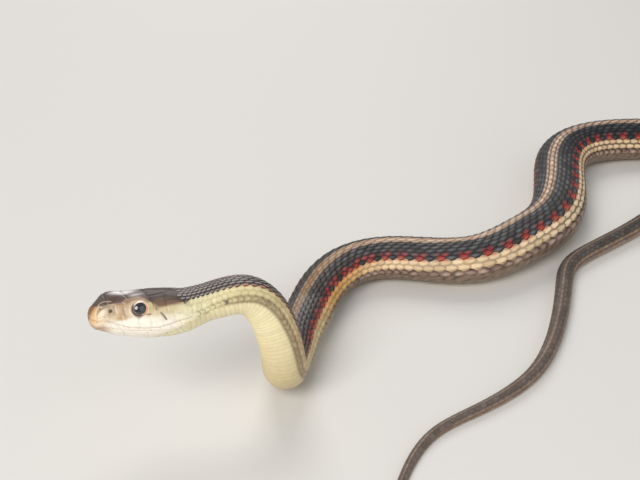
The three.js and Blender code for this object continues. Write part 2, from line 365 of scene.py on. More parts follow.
def outline_point(distance, angle):
    """Point on the outer outline, with no coat taken off."""
    centre, _, back, left = station(distance)
    aside, up = section(distance, angle)
    return centre + left * aside[..., None] + back * up[..., None]


def seam_points(corners):
    """Points in space along a seam on both sides of the head."""
    corners = np.array(corners, float)
    angle, arcs = head_arcs(corners[:, 0])
    round_it = np.where(corners[:, 1] < 0, arcs[:, -1] + corners[:, 1], corners[:, 1])
    corners[:, 1] = np.minimum(round_it, arcs[:, -1])
    lengths = np.hypot(*np.diff(corners, axis=0).T)
    at = np.concatenate([[0], np.cumsum(lengths)])
    along = np.linspace(0, at[-1], int(at[-1] / SEAM_STEP) + 2)
    distance = np.interp(along, at, corners[:, 0])
    reach = np.interp(along, at, corners[:, 1])
    angle, arcs = head_arcs(distance)
    turned = np.array([np.interp(r, arc, angle) for r, arc in zip(reach, arcs)])
    return np.vstack([outline_point(distance, side * turned) for side in (1, -1)])


def distance_to(points, places):
    """Distance in space from each point to the nearest of some places."""
    tree = KDTree(len(places))
    for i, place in enumerate(places):
        tree.insert(place, i)
    tree.balance()
    return np.array([tree.find(p)[2] for p in points])


def lip_seams():
    """Seams across the lips, from the mouth up to the face and down to the chin."""
    for top, reach in UPPER_LIP_SEAMS:
        foot = top + UPPER_LIP_SLANT
        yield [(top, reach), (foot, np.interp(foot, *MOUTH.T))]
    chin = np.array(PLATE_SEAMS["under lower lips"])
    for top in LOWER_LIP_SEAMS:
        foot = top + LOWER_LIP_SLANT
        yield [(top, np.interp(top, *MOUTH.T)), (foot, np.interp(foot, *chin.T))]


def below_mouth(distance, reach):
    """How far below the mouth line a place on the head lies."""
    return reach - np.interp(distance, *MOUTH.T)


def to_linear(values):
    """Linear colours from ones as a screen shows them, of 0 to 255."""
    share = np.asarray(values, float) / 255
    return np.where(share > 0.04045, ((share + 0.055) / 1.055) ** 2.4, share / 12.92)


def plain(colour, shape):
    """One colour over a whole grid of places."""
    return np.broadcast_to(to_linear(colour), shape + (3,))


def paint(colours, *layers):
    """Colours with each layer, a colour and its share, laid over the ones before it."""
    for colour, share in layers:
        share = np.clip(share, 0, 1)[..., None]
        colours = colours * (1 - share) + to_linear(colour) * share
    return colours


# Waves that the noise is made of: direction and start of each.
NOISE_WAVES = ((1.0, 0.37, 0.71, 0.4), (-0.43, 1.13, 0.29, 2.1), (0.61, -0.53, 1.07, 4.4))


def noise_at(points, size):
    """Smooth noise of about -1 to 1 that depends only on the place."""
    places = np.asarray(points) / size
    total = np.zeros(places.shape[:-1])
    for x, y, z, start in NOISE_WAVES:
        along = places @ np.array((x, y, z))
        across = places @ np.array((y, -z, x))
        total += np.sin(6.28 * along + start + 1.7 * np.sin(4.1 * across + start))
    return total / len(NOISE_WAVES)


def body_noise(distance, turn, turn_length, size):
    """Noise over the laid-flat body, a degree of turn counting as a length."""
    return noise_at(np.stack([distance, turn_length * turn, 0 * turn], -1), size)


# How far apart the scales of one row lie, by distance from the snout.
SCALE_PITCH = np.array([
    (8, 1.0),
    (16, 1.1),
    (30, 1.2),
    (44, 1.35),
    (60, 1.6),
    (80, 2.4),
    (100, 3.2),
    (110, 3.2),
    (122, 2.65),
    (140, 2.6),
    (155, 3.2),
    (175, 3.5),
    (200, 3.3),
    (240, 3.1),
    (400, 3.0),
    (468, 2.5),
    (560, 2.0),
    (648, 1.4),
])
# How far the markings are turned towards the snake's right side, in degrees.
MARKING_ROLL = np.array([
    (20, -3),
    (34, -4),
    (42, -12),
    (52, -12),
    (62, 2),
    (70, 12),
    (84, 16),
    (101, 6),
    (118, 4),
    (128, 4),
    (137, 13),
    (147, 18),
    (160, 24),
    (172, 27),
    (187, 27),
    (205, 22),
    (232, 10),
    (255, 0),
    (470, 0),
    (490, -8),
    (600, -8),
    (652, 0),
])
pitch_distance = np.linspace(SCALE_PITCH[0, 0], SCALE_PITCH[-1, 0], 4000)
pitch_gap = np.interp(pitch_distance, *SCALE_PITCH.T)
pitch_number = np.concatenate([[0], np.cumsum(np.diff(pitch_distance) / pitch_gap[1:])])


def scale_number(distance):
    """How many scales lie in one row before a place on the body."""
    return np.interp(distance, pitch_distance, pitch_number)


def scale_place(number):
    """Distance from the snout that a count of scales reaches."""
    return np.interp(number, pitch_number, pitch_distance)


def roll(distance):
    """How far the markings are turned round the body, in degrees."""
    return np.interp(distance, *MARKING_ROLL.T)


# Ground colours of the body, with painted shade and painted highlights among them.
TAN = (198, 164, 138)
BLACK = (57, 53, 53)
CURL_SHADE_BLACK = (30, 30, 34)
PAINTED_SHADE_TAN = (142, 106, 68)
NAPE_BLACK = (58, 48, 44)
CREAM = (223, 191, 147)
CREAM_HIGHLIGHT = (238, 212, 176)
OCHRE = (224, 174, 100)
YELLOW = (219, 205, 152)
PALE_YELLOW = (240, 234, 192)
ARCH_TAN = (202, 172, 124)
OLIVE = (144, 124, 92)
FLANK = (146, 117, 103)
BELLY = (240, 228, 184)
TAIL_GREY = (78, 69, 63)
TAIL_END = (104, 90, 82)
TAIL_LINE = (160, 134, 110)
STRIPE_EDGE = 10
LATERAL_TOP = 64
LATERAL_FOOT = 92
BELLY_EDGE = 114
EDGE_BLUR = 1.5
# The low stripe's top edge dips just behind the cheek.
CHEEK_DIP = 9
CHEEK_STRETCH = (18.5, 3)
# Stretches over which the markings, and the painted shade where the body curls, change, by distance
# from the snout.
STRIPE_START = (20, 34)
OLIVE_START = (24, 36)
NECK_END = (50, 90)
NAPE_END = (70, 125)
CURL_SHADE_START = (190, 225)
TAIL_START = (440, 490)
TAIL_FADE = (500, 560)
# Stretches that have a tone of their own, and stretches of painted light and shade: the middle of
# each, and how far it fades.
LIT_NECK_STRETCH = (22, 6)
ARCH_STRETCH = (50, 13)
PAINTED_SHADE_STRETCH = (86, 24)
OCHRE_STRETCH = (92, 19)
HIGHLIGHT_STRETCHES = ((178, 30), (120, 14))
# Black spots low on the neck: distance and spread along it, angle and spread round it.
FRECKLES = ((28, 0.45, 102, 4), (23.5, 0.35, 109, 3))


def markings(distance, turn):
    """Ground colours of the body, with painted shade and highlights, by distance and by angle from the
    back in degrees.
    """
    turn = np.abs(turn)
    tail = step(*TAIL_START, distance)
    neck = 1 - step(*NECK_END, distance)

    def beyond(edge):
        return step(edge - EDGE_BLUR, edge + EDGE_BLUR, turn)

    stripe = 1 - beyond(STRIPE_EDGE)
    low = beyond(LATERAL_TOP + CHEEK_DIP * bell(distance, *CHEEK_STRETCH))
    pale = sum(bell(distance, *stretch) for stretch in HIGHLIGHT_STRETCHES)
    flank = beyond(LATERAL_FOOT - 5 * neck)
    mottled = 0.72 + 0.4 * body_noise(distance, turn, 0.1, 1.4)
    belly = BELLY_EDGE + 6 * neck
    return paint(
        plain(BLACK, turn.shape),
        # Painted shade deepens the black where the body curls.
        (CURL_SHADE_BLACK, step(*CURL_SHADE_START, distance)),
        (NAPE_BLACK, 1 - step(*NAPE_END, distance)),
        (TAIL_GREY, tail),
        (TAIL_END, step(*TAIL_FADE, distance)),
        (TAN, stripe * step(*STRIPE_START, distance) * (1 - tail)),
        # Painted shade darkens the stripe over this stretch of the trunk.
        (PAINTED_SHADE_TAN, stripe * bell(distance, *PAINTED_SHADE_STRETCH)),
        (TAIL_LINE, 0.6 * bell(turn, 0, 5) * tail),
        (CREAM, low * (1 - tail)),
        # A painted highlight on the cream stripe.
        (CREAM_HIGHLIGHT, 0.6 * low * pale),
        (OCHRE, low * bell(distance, *OCHRE_STRETCH)),
        (YELLOW, low * neck),
        # Painted light brightens the low stripe on this stretch of the neck.
        (PALE_YELLOW, 0.6 * low * bell(distance, *LIT_NECK_STRETCH)),
        (ARCH_TAN, low * bell(distance, *ARCH_STRETCH)),
        (TAIL_LINE, 0.85 * bell(turn, 76, 8) * tail),
        (FLANK, flank * (1 - neck)),
        (OLIVE, flank * neck * step(*OLIVE_START, distance) * mottled),
        (BELLY, step(belly - 4, belly + 6, turn) * (1 - 0.4 * tail)),
    )


def freckles(distance, side):
    """Share of the few black spots low on the neck."""
    return sum(bell(distance, at, long) * bell(side, turn, wide) for at, long, turn, wide in FRECKLES)


def painted(mesh, colours):
    """Writes colours as the attribute that the materials read."""
    layer = mesh.attributes.new("tint", "FLOAT_COLOR", "POINT")
    with_alpha = np.ones((len(colours), 4), np.float32)
    with_alpha[:, :3] = colours
    layer.data.foreach_set("color", with_alpha.ravel())


def new_piece(name, add, **sizes):
    """A primitive, added with nothing else selected."""
    bpy.ops.object.select_all(action="DESELECT")
    add(**sizes)
    piece = bpy.context.object
    piece.name = name
    return piece


def places_of(mesh):
    """Where the mesh's vertices are, one row for each."""
    places = np.empty(len(mesh.vertices) * 3, np.float32)
    mesh.vertices.foreach_get("co", places)
    return places.reshape(-1, 3).astype(float)


def sheet(name, rows, columns, wrap):
    """A grid whose vertices wrap places, from shares along and round, and their colours."""
    add = bpy.ops.mesh.primitive_grid_add
    piece = new_piece(name, add, x_subdivisions=rows, y_subdivisions=columns, size=2)
    along, around = (places_of(piece.data)[:, :2].T + 1) / 2
    # The grid's own vertices are found by their place, so their order doesn't matter.
    row = np.rint(along * rows).astype(int)
    column = np.rint(around * columns).astype(int)
    order = row * (columns + 1) + column
    points, colours, extras = wrap(np.arange(rows + 1) / rows, np.arange(columns + 1) / columns)
    piece.data.vertices.foreach_set("co", (points.reshape(-1, 3)[order] * MM).ravel())
    painted(piece.data, colours.reshape(-1, 3)[order])
    for title, values in extras.items():
        layer = piece.data.attributes.new(title, "FLOAT", "POINT")
        layer.data.foreach_set("value", values.ravel()[order])
    return piece


HEAD_END = 24.5
HEAD_ROWS = 214
HEAD_COLUMNS = 256
NOSE_LENGTH = 3.0
BODY_ROWS = 518
BODY_COLUMNS = 48
TIP_LENGTH = 1.5
TIP_ROWS = 8
# Between the scales the skin lies a little deeper, and is darker than they are.
SKIN_SINK = 0.08
SKIN_TONE = 0.4
# The tail ends in one bare horny point, which stands out of the last scales.
BARE_TIP = 642
BARE_EASE = (BARE_TIP - 1, BARE_TIP + 1.5)
JOIN_GAP = 0.2
NECK_EASE = 4
MERGE_NEAR = 1e-7


def head_distances(share):
    """Distances of the head's rings, which lie closer together towards the snout's tip."""
    even = share * (HEAD_END + NOSE_LENGTH)
    return np.where(
        even < 2 * NOSE_LENGTH,
        NOSE_LENGTH * (even / (2 * NOSE_LENGTH)) ** 2,
        even - NOSE_LENGTH,
    )


def line_gap(distance, reach, corners):
    """Distance on the unrolled head to a line through some corners."""
    corners = np.array(corners, float)
    nearest = np.full(distance.shape, 1e9)
    for (s1, t1), (s2, t2) in zip(corners, corners[1:]):
        length = np.hypot(s2 - s1, t2 - t1)
        share = np.clip(((distance - s1) * (s2 - s1) + (reach - t1) * (t2 - t1)) / length**2, 0, 1)
        gap = np.hypot(distance - s1 - share * (s2 - s1), reach - t1 - share * (t2 - t1))
        nearest = np.minimum(nearest, gap)
    return nearest


def mark_share(distance, reach, corners, size, soft):
    """Share of an oval spot at one place, or of a streak along a line, with a soft edge."""
    if len(corners) == 1:
        gap = np.hypot((distance - corners[0][0]) / size[0], (reach - corners[0][1]) / size[1])
    else:
        gap = line_gap(distance, reach, corners) / size
    return 1 - step(1 - soft, 1 + soft, gap)


def marks(distance, reach, table):
    """Layers of a table of marks."""
    return [(colour, share * mark_share(distance, reach, *shape)) for colour, share, *shape in table]


def over_line(distance, reach, corners, soft):
    """Share that lies above a line on the unrolled head."""
    return 1 - step(-soft, soft, reach - np.interp(distance, *np.array(corners).T))


# Colours of the head.
CROWN = (88, 71, 64)
CROWN_FRONT = (92, 82, 74)
CROWN_PAINTED_HIGHLIGHT = (240, 235, 230)
CROWN_REAR = (58, 48, 45)
CANTHUS_BROWN = (98, 68, 60)
BROW = (146, 116, 94)
LOREAL = (188, 159, 119)
SNOUT_PATCH = (92, 66, 52)
FACE_CREAM = (230, 213, 184)
LIP_CREAM = (247, 240, 225)
ROSTRAL = (136, 92, 56)
ROSTRAL_GOLD = (222, 184, 132)
ROSTRAL_FOOT = (240, 214, 178)
BROWN_BAND = (176, 140, 112)
BROWN_SPOT = (182, 138, 80)
POSTOCULAR = (204, 184, 136)
WEDGE = (118, 88, 68)
INK = (50, 42, 36)
JAW_PINK = (240, 210, 192)
PAINTED_GLINT = (226, 206, 188)
CHEEK = (206, 189, 146)
CHIN_FRONT = (178, 136, 112)
NASAL_SHADOW_LINE = (150, 132, 112)
NOSTRIL_SHADE = (128, 114, 94)
# Lines on the unrolled head: distance behind the snout, and distance round from the crown.
NOSTRIL_PLACE = (4.3, 5.57)
CROWN_EDGE = [
    (0, 0.4), (1.2, 1.4), (1.87, 2.44), (2.5, 2.69), (3.47, 3.18), (4.5, 3.6), (6.5, 3.7),
    (8.1, 3.6), (9.8, 3.75), (11.3, 4.7), (12.6, 6.2), (13.7, 7.2), (16.2, 7.1), (19.5, 7.1),
    (22.9, 5.6), (25, 5.2),
]
CANTHUS_FOOT = [
    (1.9, 2.5), (2.8, 4.0), (3.96, 4.3), (5.2, 4.4), (6.9, 4.8), (8.3, 4.7), (9.5, 4.5),
]
# Marks in the order that they are painted: colour, strength, corners, size and softness. A
# spot has one corner, its middle, and two half sizes. A streak has a line and a half width.
CHEEK_MARKS = [
    (LOREAL, 0.95, [(6.3, 5.4)], (2.8, 1.9), 0.6),
    (POSTOCULAR, 1, [(12.2, 6.8)], (2.2, 1.5), 0.7),
    (CHEEK, 1, [(16.2, 7.8)], (3.4, 1.5), 0.95),
]
SNOUT_MARKS = [
    (SNOUT_PATCH, 0.9, [(3.6, 3.8)], (1.8, 0.66), 0.45),
    (BROW, 0.9, [(7.6, 4.0), (9.2, 3.95), (10.8, 4.3), (11.8, 5.1)], 0.62, 0.5),
    (BROWN_BAND, 0.75, [(7.05, 4.6), (6.75, 6.9)], 0.5, 0.8),
    (BROWN_SPOT, 0.6, [(6.3, 7.5)], (1.15, 0.34), 0.8),
    (BROWN_SPOT, 0.6, [(5.75, 7.4)], (0.42, 0.34), 0.8),
    (BROWN_SPOT, 0.6, [(6.9, 7.6)], (0.5, 0.4), 0.8),
]
TEMPLE_MARKS = [(WEDGE, 0.7, [(12.6, 5.6), (13.1, 7.3)], 0.35, 0.8)]
# Painted highlights on the crown, where its glossy plates would catch a lamp.
CROWN_HIGHLIGHT_MARKS = [
    (CROWN_PAINTED_HIGHLIGHT, 1, [(6.9, 1.4)], (2.0, 0.9), 0.6),
    (CROWN_PAINTED_HIGHLIGHT, 0.5, [(9.2, 1.3)], (1.2, 0.6), 0.7),
    (CROWN_PAINTED_HIGHLIGHT, 0.4, [(9.6, 3.1)], (1.3, 0.3), 0.8),
]
FINE_MARKS = [
    # Painted glints: pale lines along the snout's seams, and a pale spot behind the nostril.
    (PAINTED_GLINT, 0.7, [(1.9, 2.5), (2.5, 2.75), (3.5, 3.25), (4.6, 3.7)], 0.07, 0.8),
    (PAINTED_GLINT, 0.7, [(2.1, 2.9), (2.8, 4.05), (5.2, 4.4)], 0.07, 0.8),
    # A painted shadow line under the lower pale line.
    (NASAL_SHADOW_LINE, 0.6, [(2.2, 3.5), (2.9, 4.45), (4.1, 4.75)], 0.12, 0.8),
    (PAINTED_GLINT, 0.8, [(4.95, 5.5)], (0.35, 0.4), 0.6),
    (NOSTRIL_SHADE, 0.7, [NOSTRIL_PLACE], (0.7, 0.6), 0.8),
    (INK, 0.9, [NOSTRIL_PLACE], (0.26, 0.22), 0.5),
    (INK, 0.9, [(13.9, 8.3), (14.3, 8.9), (14.75, 9.75)], 0.17, 0.6),
    (INK, 0.8, [(10.9, 7.9), (11.9, 8.15)], 0.12, 0.6),
    (INK, 0.6, [(9.6, 8.35)], (0.3, 0.16), 0.6),
]


def head_colours(distance, reach, points):
    """Colours of the head by distance, and by distance round it from the crown's middle."""
    wave = noise_at(points, 2.4)
    front = 1 - step(0.6, 3.7, distance)
    top_front = (1 - step(1.3, 2.8, distance)) * (1 - step(1.4, 3.4, reach))
    canthus = over_line(distance, reach, CANTHUS_FOOT, 0.35) * step(1.7, 2.4, distance)
    wedge = over_line(distance, reach, CROWN_EDGE, 0.4) * step(11.2, 12.8, distance)
    nape = wedge * step(14.5, 18.5, distance) * (1 - step(5.4, 6.8, reach))
    crown = over_line(distance, reach, CROWN_EDGE, 0.2) * step(0.5, 1.3, distance)
    crown = crown * (1 - step(4.4, 6.6, reach) * step(11.5, 12.6, distance))
    painted_highlight = sum(share for _, share in marks(distance, reach, CROWN_HIGHLIGHT_MARKS))
    under = below_mouth(distance, reach)
    return paint(
        plain(FACE_CREAM, distance.shape),
        (LIP_CREAM, step(7.0, 8.6, reach)),
        *marks(distance, reach, CHEEK_MARKS),
        (PALE_YELLOW, 0.75 * step(15, 20, distance) * step(6.5, 8, reach)),
        (ROSTRAL_FOOT, 0.9 * front * (1 - step(5.6, 7.4, reach))),
        (ROSTRAL_GOLD, 0.95 * front * (1 - step(3.8, 6.2, reach))),
        (ROSTRAL, top_front),
        (CANTHUS_BROWN, 0.95 * canthus * (1 - step(7.4, 8.8, distance))),
        *marks(distance, reach, SNOUT_MARKS),
        (WEDGE, wedge * step(4.2, 6.0, reach)),
        *marks(distance, reach, TEMPLE_MARKS),
        (CROWN, crown),
        (CROWN_FRONT, crown * (1 - step(3.5, 5.0, distance))),
        # A painted highlight on the crown.
        (CROWN_PAINTED_HIGHLIGHT, painted_highlight * crown * (0.85 + 0.3 * wave)),
        (CROWN_REAR, crown * (0.8 * step(9.8, 12.2, distance) + 0.15 * wave)),
        (NAPE_BLACK, 0.9 * nape),
        *marks(distance, reach, FINE_MARKS),
        (JAW_PINK, 0.12 * bell(under, 1.3, 0.6) * (1 - step(15, 19, distance))),
        (CHIN_FRONT, 0.85 * step(0.5, 1.6, under) * (1 - step(2.2, 5.0, distance))),
    )


# Relief of the head: plates that swell between their seams, the mouth's groove with a lip
# above and below it, and the nostrils.
PLATE_SWELL = 0.06
PLATE_EDGE = 0.35
PLATES_END = (-1.5, 0.5)
PLATES_FADE = (-1.5, 2.5)
SEAM_WIDTH = 0.12
SEAM_DEPTH = 0.07
LIP_SEAM_DEPTH = 0.049
MOUTH_WIDTH = 0.13
MOUTH_DEPTH = 0.18
MOUTH_END = (19.6, 20.6)
UPPER_LIP = (0.1, -0.55, 0.4)
LOWER_LIP = (-0.08, 0.5, 0.4)
NOSTRIL_LENGTH = 1.15
NOSTRIL_EDGE = (0.12, 0.36)
NOSTRIL_DEPTH = 0.4
NOSTRIL_RIM = (0.07, 0.5, 0.16)
FLAT_TIP = 0.4
CROWN_SEAM = (60, 48, 44)
FACE_SEAM = (176, 150, 122)
LIP_SEAM = (188, 166, 138)
MOUTH_LINE = (184, 146, 124)


def head_relief(points, distance, reach, angle):
    """Height of the plates, lips and nostrils, and the layers of colour in their seams."""
    seams = np.vstack([seam_points(corners) for corners in PLATE_SEAMS.values()])
    lips = np.vstack([seam_points(corners) for corners in lip_seams()])
    near_seam, near_lip, near_mouth = (
        distance_to(points.reshape(-1, 3), places).reshape(distance.shape)
        for places in (seams, lips, seam_points(MOUTH))
    )
    nearest = np.minimum(np.minimum(near_seam, near_lip), near_mouth)
    plated = 1 - step(*PLATES_END, distance - coat_start(angle))
    height = PLATE_SWELL * (1 - np.exp(-nearest / PLATE_EDGE)) * plated
    height -= SEAM_DEPTH * bell(near_seam, 0, SEAM_WIDTH) * plated
    height -= LIP_SEAM_DEPTH * bell(near_lip, 0, SEAM_WIDTH) * plated
    in_mouth = 1 - step(*MOUTH_END, distance)
    height -= MOUTH_DEPTH * bell(near_mouth, 0, MOUTH_WIDTH) * in_mouth
    under = below_mouth(distance, reach)
    for swell, middle, spread in (UPPER_LIP, LOWER_LIP):
        height += swell * bell(under, middle, spread) * in_mouth
    pit = np.hypot((distance - NOSTRIL_PLACE[0]) / NOSTRIL_LENGTH, reach - NOSTRIL_PLACE[1])
    height -= NOSTRIL_DEPTH * (1 - step(*NOSTRIL_EDGE, pit))
    height += NOSTRIL_RIM[0] * bell(pit, *NOSTRIL_RIM[1:])
    # Nothing stands out at the very tip, where the rings close.
    height *= np.minimum(distance / FLAT_TIP, 1)
    on_crown = over_line(distance, reach, CROWN_EDGE, 0.3)
    return height, (
        (CROWN_SEAM, 0.5 * bell(near_seam, 0, 0.13) * plated * on_crown),
        (FACE_SEAM, 0.28 * bell(near_seam, 0, 0.12) * plated * (1 - on_crown)),
        (LIP_SEAM, 0.25 * bell(near_lip, 0, 0.12) * plated),
        (MOUTH_LINE, 0.5 * bell(near_mouth, 0, 0.1) * in_mouth),
    )


# Eye sockets: where the balls stand, and the ring of skin that is drawn in round each.
EYE_ALONG = 9.9
EYE_UP = 0.3
EYE_ASIDE = 3.75
EYE_RADIUS = 1.65
EYE_FLATNESS = 0.75
SOCKET_RADIUS = 1.52
SOCKET_GATHER = 0.5
SOCKET_REACH = -1.5
SOCKET_FLOOR = -0.7
SOCKET_EDGE = (SOCKET_RADIUS - 0.1, SOCKET_RADIUS + 0.03)
SOCKET_RIM_HEIGHT = 0.1
SOCKET_RIM = (SOCKET_RADIUS + 0.22, 0.2)
# Painted shade deep in each socket and low in front of it, and a painted glow round the rest of its
# edge.
SOCKET_DEEP_SHADE = (84, 62, 52)
SOCKET_SHADE = (92, 66, 52)
SOCKET_PAINTED_GLOW = (246, 206, 186)


def eye_frame(side):
    """Middle of the eye on one side, with the directions forward, up and out."""
    centre, forward, back, left = station(EYE_ALONG)
    return centre + left * side * EYE_ASIDE + back * EYE_UP, forward, back, left * side


def socket(points, colours, angle, side):
    """The head's points and colours with one eye's socket sunk in, painted shade in it and low in
    front of it, and a painted glow round the rest of its edge.
    """
    eye, forward, back, out = eye_frame(side)
    offset = points - eye
    ahead, above, beyond = offset @ forward, offset @ back, offset @ out
    here = (beyond > SOCKET_REACH) & (np.sign(angle) == side)
    # Rings of the mesh are gathered at the socket's edge, so that it is cut cleanly.
    radius = np.maximum(np.hypot(ahead, above), 1e-6)
    share = np.clip((radius - SOCKET_RADIUS) / SOCKET_GATHER, -1, 1)
    gathered = SOCKET_RADIUS + SOCKET_GATHER * share * np.abs(share) ** 0.8
    moved = np.where((np.abs(share) < 1) & here, gathered / radius - 1, 0)
    points = points + (ahead * moved)[..., None] * forward + (above * moved)[..., None] * back
    radius = radius * (1 + moved)
    rim = SOCKET_RIM_HEIGHT * bell(radius, *SOCKET_RIM) * here
    sink = (1 - step(*SOCKET_EDGE, radius)) * here
    floor = np.minimum(beyond, SOCKET_FLOOR) - beyond
    points = points + out * (rim + sink * floor)[..., None]
    low_front = step(0.2, 1.0, (0.75 * ahead - 0.65 * above) / radius)
    colours = paint(
        colours,
        (SOCKET_DEEP_SHADE, here * (1 - step(SOCKET_RADIUS - 0.1, SOCKET_RADIUS, radius))),
        (SOCKET_SHADE, here * 0.75 * bell(radius, SOCKET_RADIUS + 0.1, 0.16) * low_front),
        (SOCKET_PAINTED_GLOW, here * 0.6 * bell(radius, SOCKET_RADIUS + 0.06, 0.1) * (1 - low_front)),
    )
    return points, colours


def outward_of(points, centre):
    """Directions out of a skin that is drawn as rings of points round a centre line."""
    outward = np.cross(np.gradient(points, axis=1), np.gradient(points, axis=0))
    outward /= np.maximum(np.linalg.norm(outward, axis=-1, keepdims=True), 1e-12)
    return outward * np.sign(np.median((outward * (points - centre)).sum(-1)))


def head_skin(along, around):
    """Points and colours of the head, with its plates, lips, nostrils and eye sockets."""
    distance, angle = np.meshgrid(head_distances(along), (around - 0.5) * 2 * np.pi, indexing="ij")
    turn = np.degrees(angle)
    points = on_body(distance, angle, 0)
    arcs = arc_lengths(distance, angle)
    middle = len(around) // 2
    reach = np.abs(arcs - arcs[:, middle : middle + 1])
    coat = step(*PLATES_FADE, distance - coat_start(angle))[..., None]
    colours = head_colours(distance, reach, points) * (1 - coat) + markings(distance, turn) * coat
    height, shades = head_relief(points, distance, reach, angle)
    colours = paint(colours, *shades)
    points = points + outward_of(points, station(distance)[0]) * height[..., None]
    for side in (1, -1):
        points, colours = socket(points, colours, angle, side)
    return points, colours, {"distance": distance, "turn": turn}


def body_skin(along, around):
    """Points and colours of the skin behind the head, to the tip of the tail."""
    start = HEAD_END + JOIN_GAP
    before_tip = along * BODY_ROWS / (BODY_ROWS - TIP_ROWS)
    end = (1 - along) * BODY_ROWS / TIP_ROWS
    reach = np.where(
        end < 1,
        LENGTH - TIP_LENGTH * end**2,
        start + before_tip * (LENGTH - TIP_LENGTH - start),
    )
    distance, angle = np.meshgrid(reach, (around - 0.5) * 2 * np.pi, indexing="ij")
    bare = step(*BARE_EASE, distance)
    sunk = -SKIN_SINK * step(HEAD_END, HEAD_END + NECK_EASE, distance) * (1 - bare)
    points = on_body(distance, angle, sunk + COAT_DEPTH * coat_size(distance) * bare)
    turn = np.degrees(angle)
    tone = SKIN_TONE + (1 - SKIN_TONE) * bare
    colours = markings(distance, turn + roll(distance)) * tone[..., None]
    return points, colours, {"distance": distance, "turn": turn}


def face_outwards():
    """Turns all faces of the active piece outwards."""
    bpy.ops.object.mode_set(mode="EDIT")
    bpy.ops.mesh.select_all(action="SELECT")
    bpy.ops.mesh.normals_make_consistent(inside=False)
    bpy.ops.object.mode_set(mode="OBJECT")


# The two grids are joined, their closed ends merged, and the gap at the neck bridged.
head_piece = sheet("skin", HEAD_ROWS, HEAD_COLUMNS, head_skin)
body_piece = sheet("skin_body", BODY_ROWS, BODY_COLUMNS, body_skin)
bpy.ops.object.select_all(action="DESELECT")
body_piece.select_set(True)
head_piece.select_set(True)
bpy.context.view_layer.objects.active = head_piece
bpy.ops.object.join()
skin = bpy.context.object
bpy.ops.object.mode_set(mode="EDIT")
bpy.ops.mesh.select_all(action="SELECT")
bpy.ops.mesh.remove_doubles(threshold=MERGE_NEAR)
bpy.ops.mesh.select_mode(type="EDGE")
bpy.ops.mesh.select_all(action="DESELECT")
bpy.ops.mesh.select_non_manifold(
    extend=False, use_wire=False, use_multi_face=False, use_non_contiguous=False, use_verts=False
)
bpy.ops.mesh.bridge_edge_loops()
bpy.ops.object.mode_set(mode="OBJECT")
face_outwards()
bpy.ops.object.shade_smooth()


def values_of(mesh, title):
    """One stored value for each vertex."""
    values = np.empty(len(mesh.vertices), np.float32)
    mesh.attributes[title].data.foreach_get("value", values)
    return values


def corners_of(mesh):
    """For each face corner its vertex and its face."""
    vertex = np.empty(len(mesh.loops), np.int32)
    mesh.loops.foreach_get("vertex_index", vertex)
    count = np.empty(len(mesh.polygons), np.int32)
    mesh.polygons.foreach_get("loop_total", count)
    return vertex, np.repeat(np.arange(len(count)), count)


def unwrapped(mesh, u, v):
    """Gives the mesh the one map that its patterns are kept on."""
    while mesh.uv_layers:
        mesh.uv_layers.remove(mesh.uv_layers[0])
    layer = mesh.uv_layers.new(name="OFBake")
    layer.data.foreach_set("uv", np.stack([u, v], -1).astype(np.float32).ravel())


# The skin's map: the head in one large square, and the body in lanes over it.
HEAD_CHART = 0.6
BODY_LANES = 4
CHART_MARGIN = 0.015
CUT_TURN = 179.9
POLE_NEAR = 1e-4


def inset(share, margin):
    """A share of a chart, kept clear of the chart's edges."""
    return margin + (1 - 2 * margin) * share


def unwrap_skin(mesh):
    """Cuts the skin along the belly and lays it flat, the head large and the body in lanes."""
    vertex, face = corners_of(mesh)
    distance = values_of(mesh, "distance")[vertex]
    turn = values_of(mesh, "turn")[vertex]
    faces = len(mesh.polygons)
    # A corner on the belly's cut takes the side of the rest of its face.
    on_cut = np.abs(turn) > CUT_TURN
    side = np.sign(np.bincount(face, np.where(on_cut, 0, turn), faces))[face]
    turn = np.where(on_cut, 180 * np.where(side == 0, 1, side), turn)
    # A pole's corner takes the turn of its face.
    pole = (distance < POLE_NEAR) | (distance > LENGTH - POLE_NEAR)
    others = np.maximum(np.bincount(face, ~pole, faces), 1)
    turn = np.where(pole, (np.bincount(face, np.where(pole, 0, turn), faces) / others)[face], turn)
    across = inset((turn + 180) / 360, CHART_MARGIN)
    middle = (np.bincount(face, distance, faces) / np.bincount(face, minlength=faces))[face]
    on_head = middle < HEAD_END
    lane_length = (LENGTH - HEAD_END) / BODY_LANES
    lane = np.clip((middle - HEAD_END) // lane_length, 0, BODY_LANES - 1)
    along = inset((distance - HEAD_END - lane * lane_length) / lane_length, CHART_MARGIN)
    lane_width = (1 - HEAD_CHART) / BODY_LANES
    u = np.where(on_head, HEAD_CHART * distance / HEAD_END, along)
    v = np.where(on_head, across * HEAD_CHART, HEAD_CHART + lane_width * (lane + across))
    unwrapped(mesh, u, v)


unwrap_skin(skin.data)

# Finish of skin and scales, in which the head's plates are duller behind the brow.
CLOUD_SCALE = 900
CLOUD_RANGE = (0.25, 0.75)
GLOSS_SPREAD = (-0.07, 0.1)
GLOSS_END = (9.0, 11.5)
COAT_ROUGHNESS = 0.18
GRAIN_HEIGHT = 0.0001


def connect(tree, node, inputs):
    """Gives a node's inputs their values, or links them to the outputs of other nodes."""
    for title, value in inputs.items():
        if isinstance(value, bpy.types.NodeSocket):
            tree.links.new(value, node.inputs[title])
        else:
            node.inputs[title].default_value = value


def add_node(tree, kind, inputs, **settings):
    """A new shader node, of which the outputs are returned."""
    node = tree.nodes.new("ShaderNode" + kind)
    for title, value in settings.items():
        setattr(node, title, value)
    connect(tree, node, inputs)
    return node.outputs


def map_range(tree, value, before, after):
    """A value moved from one range to another."""
    ends = {"From Min": before[0], "From Max": before[1], "To Min": after[0], "To Max": after[1]}
    return add_node(tree, "MapRange", {"Value": value, **ends})["Result"]


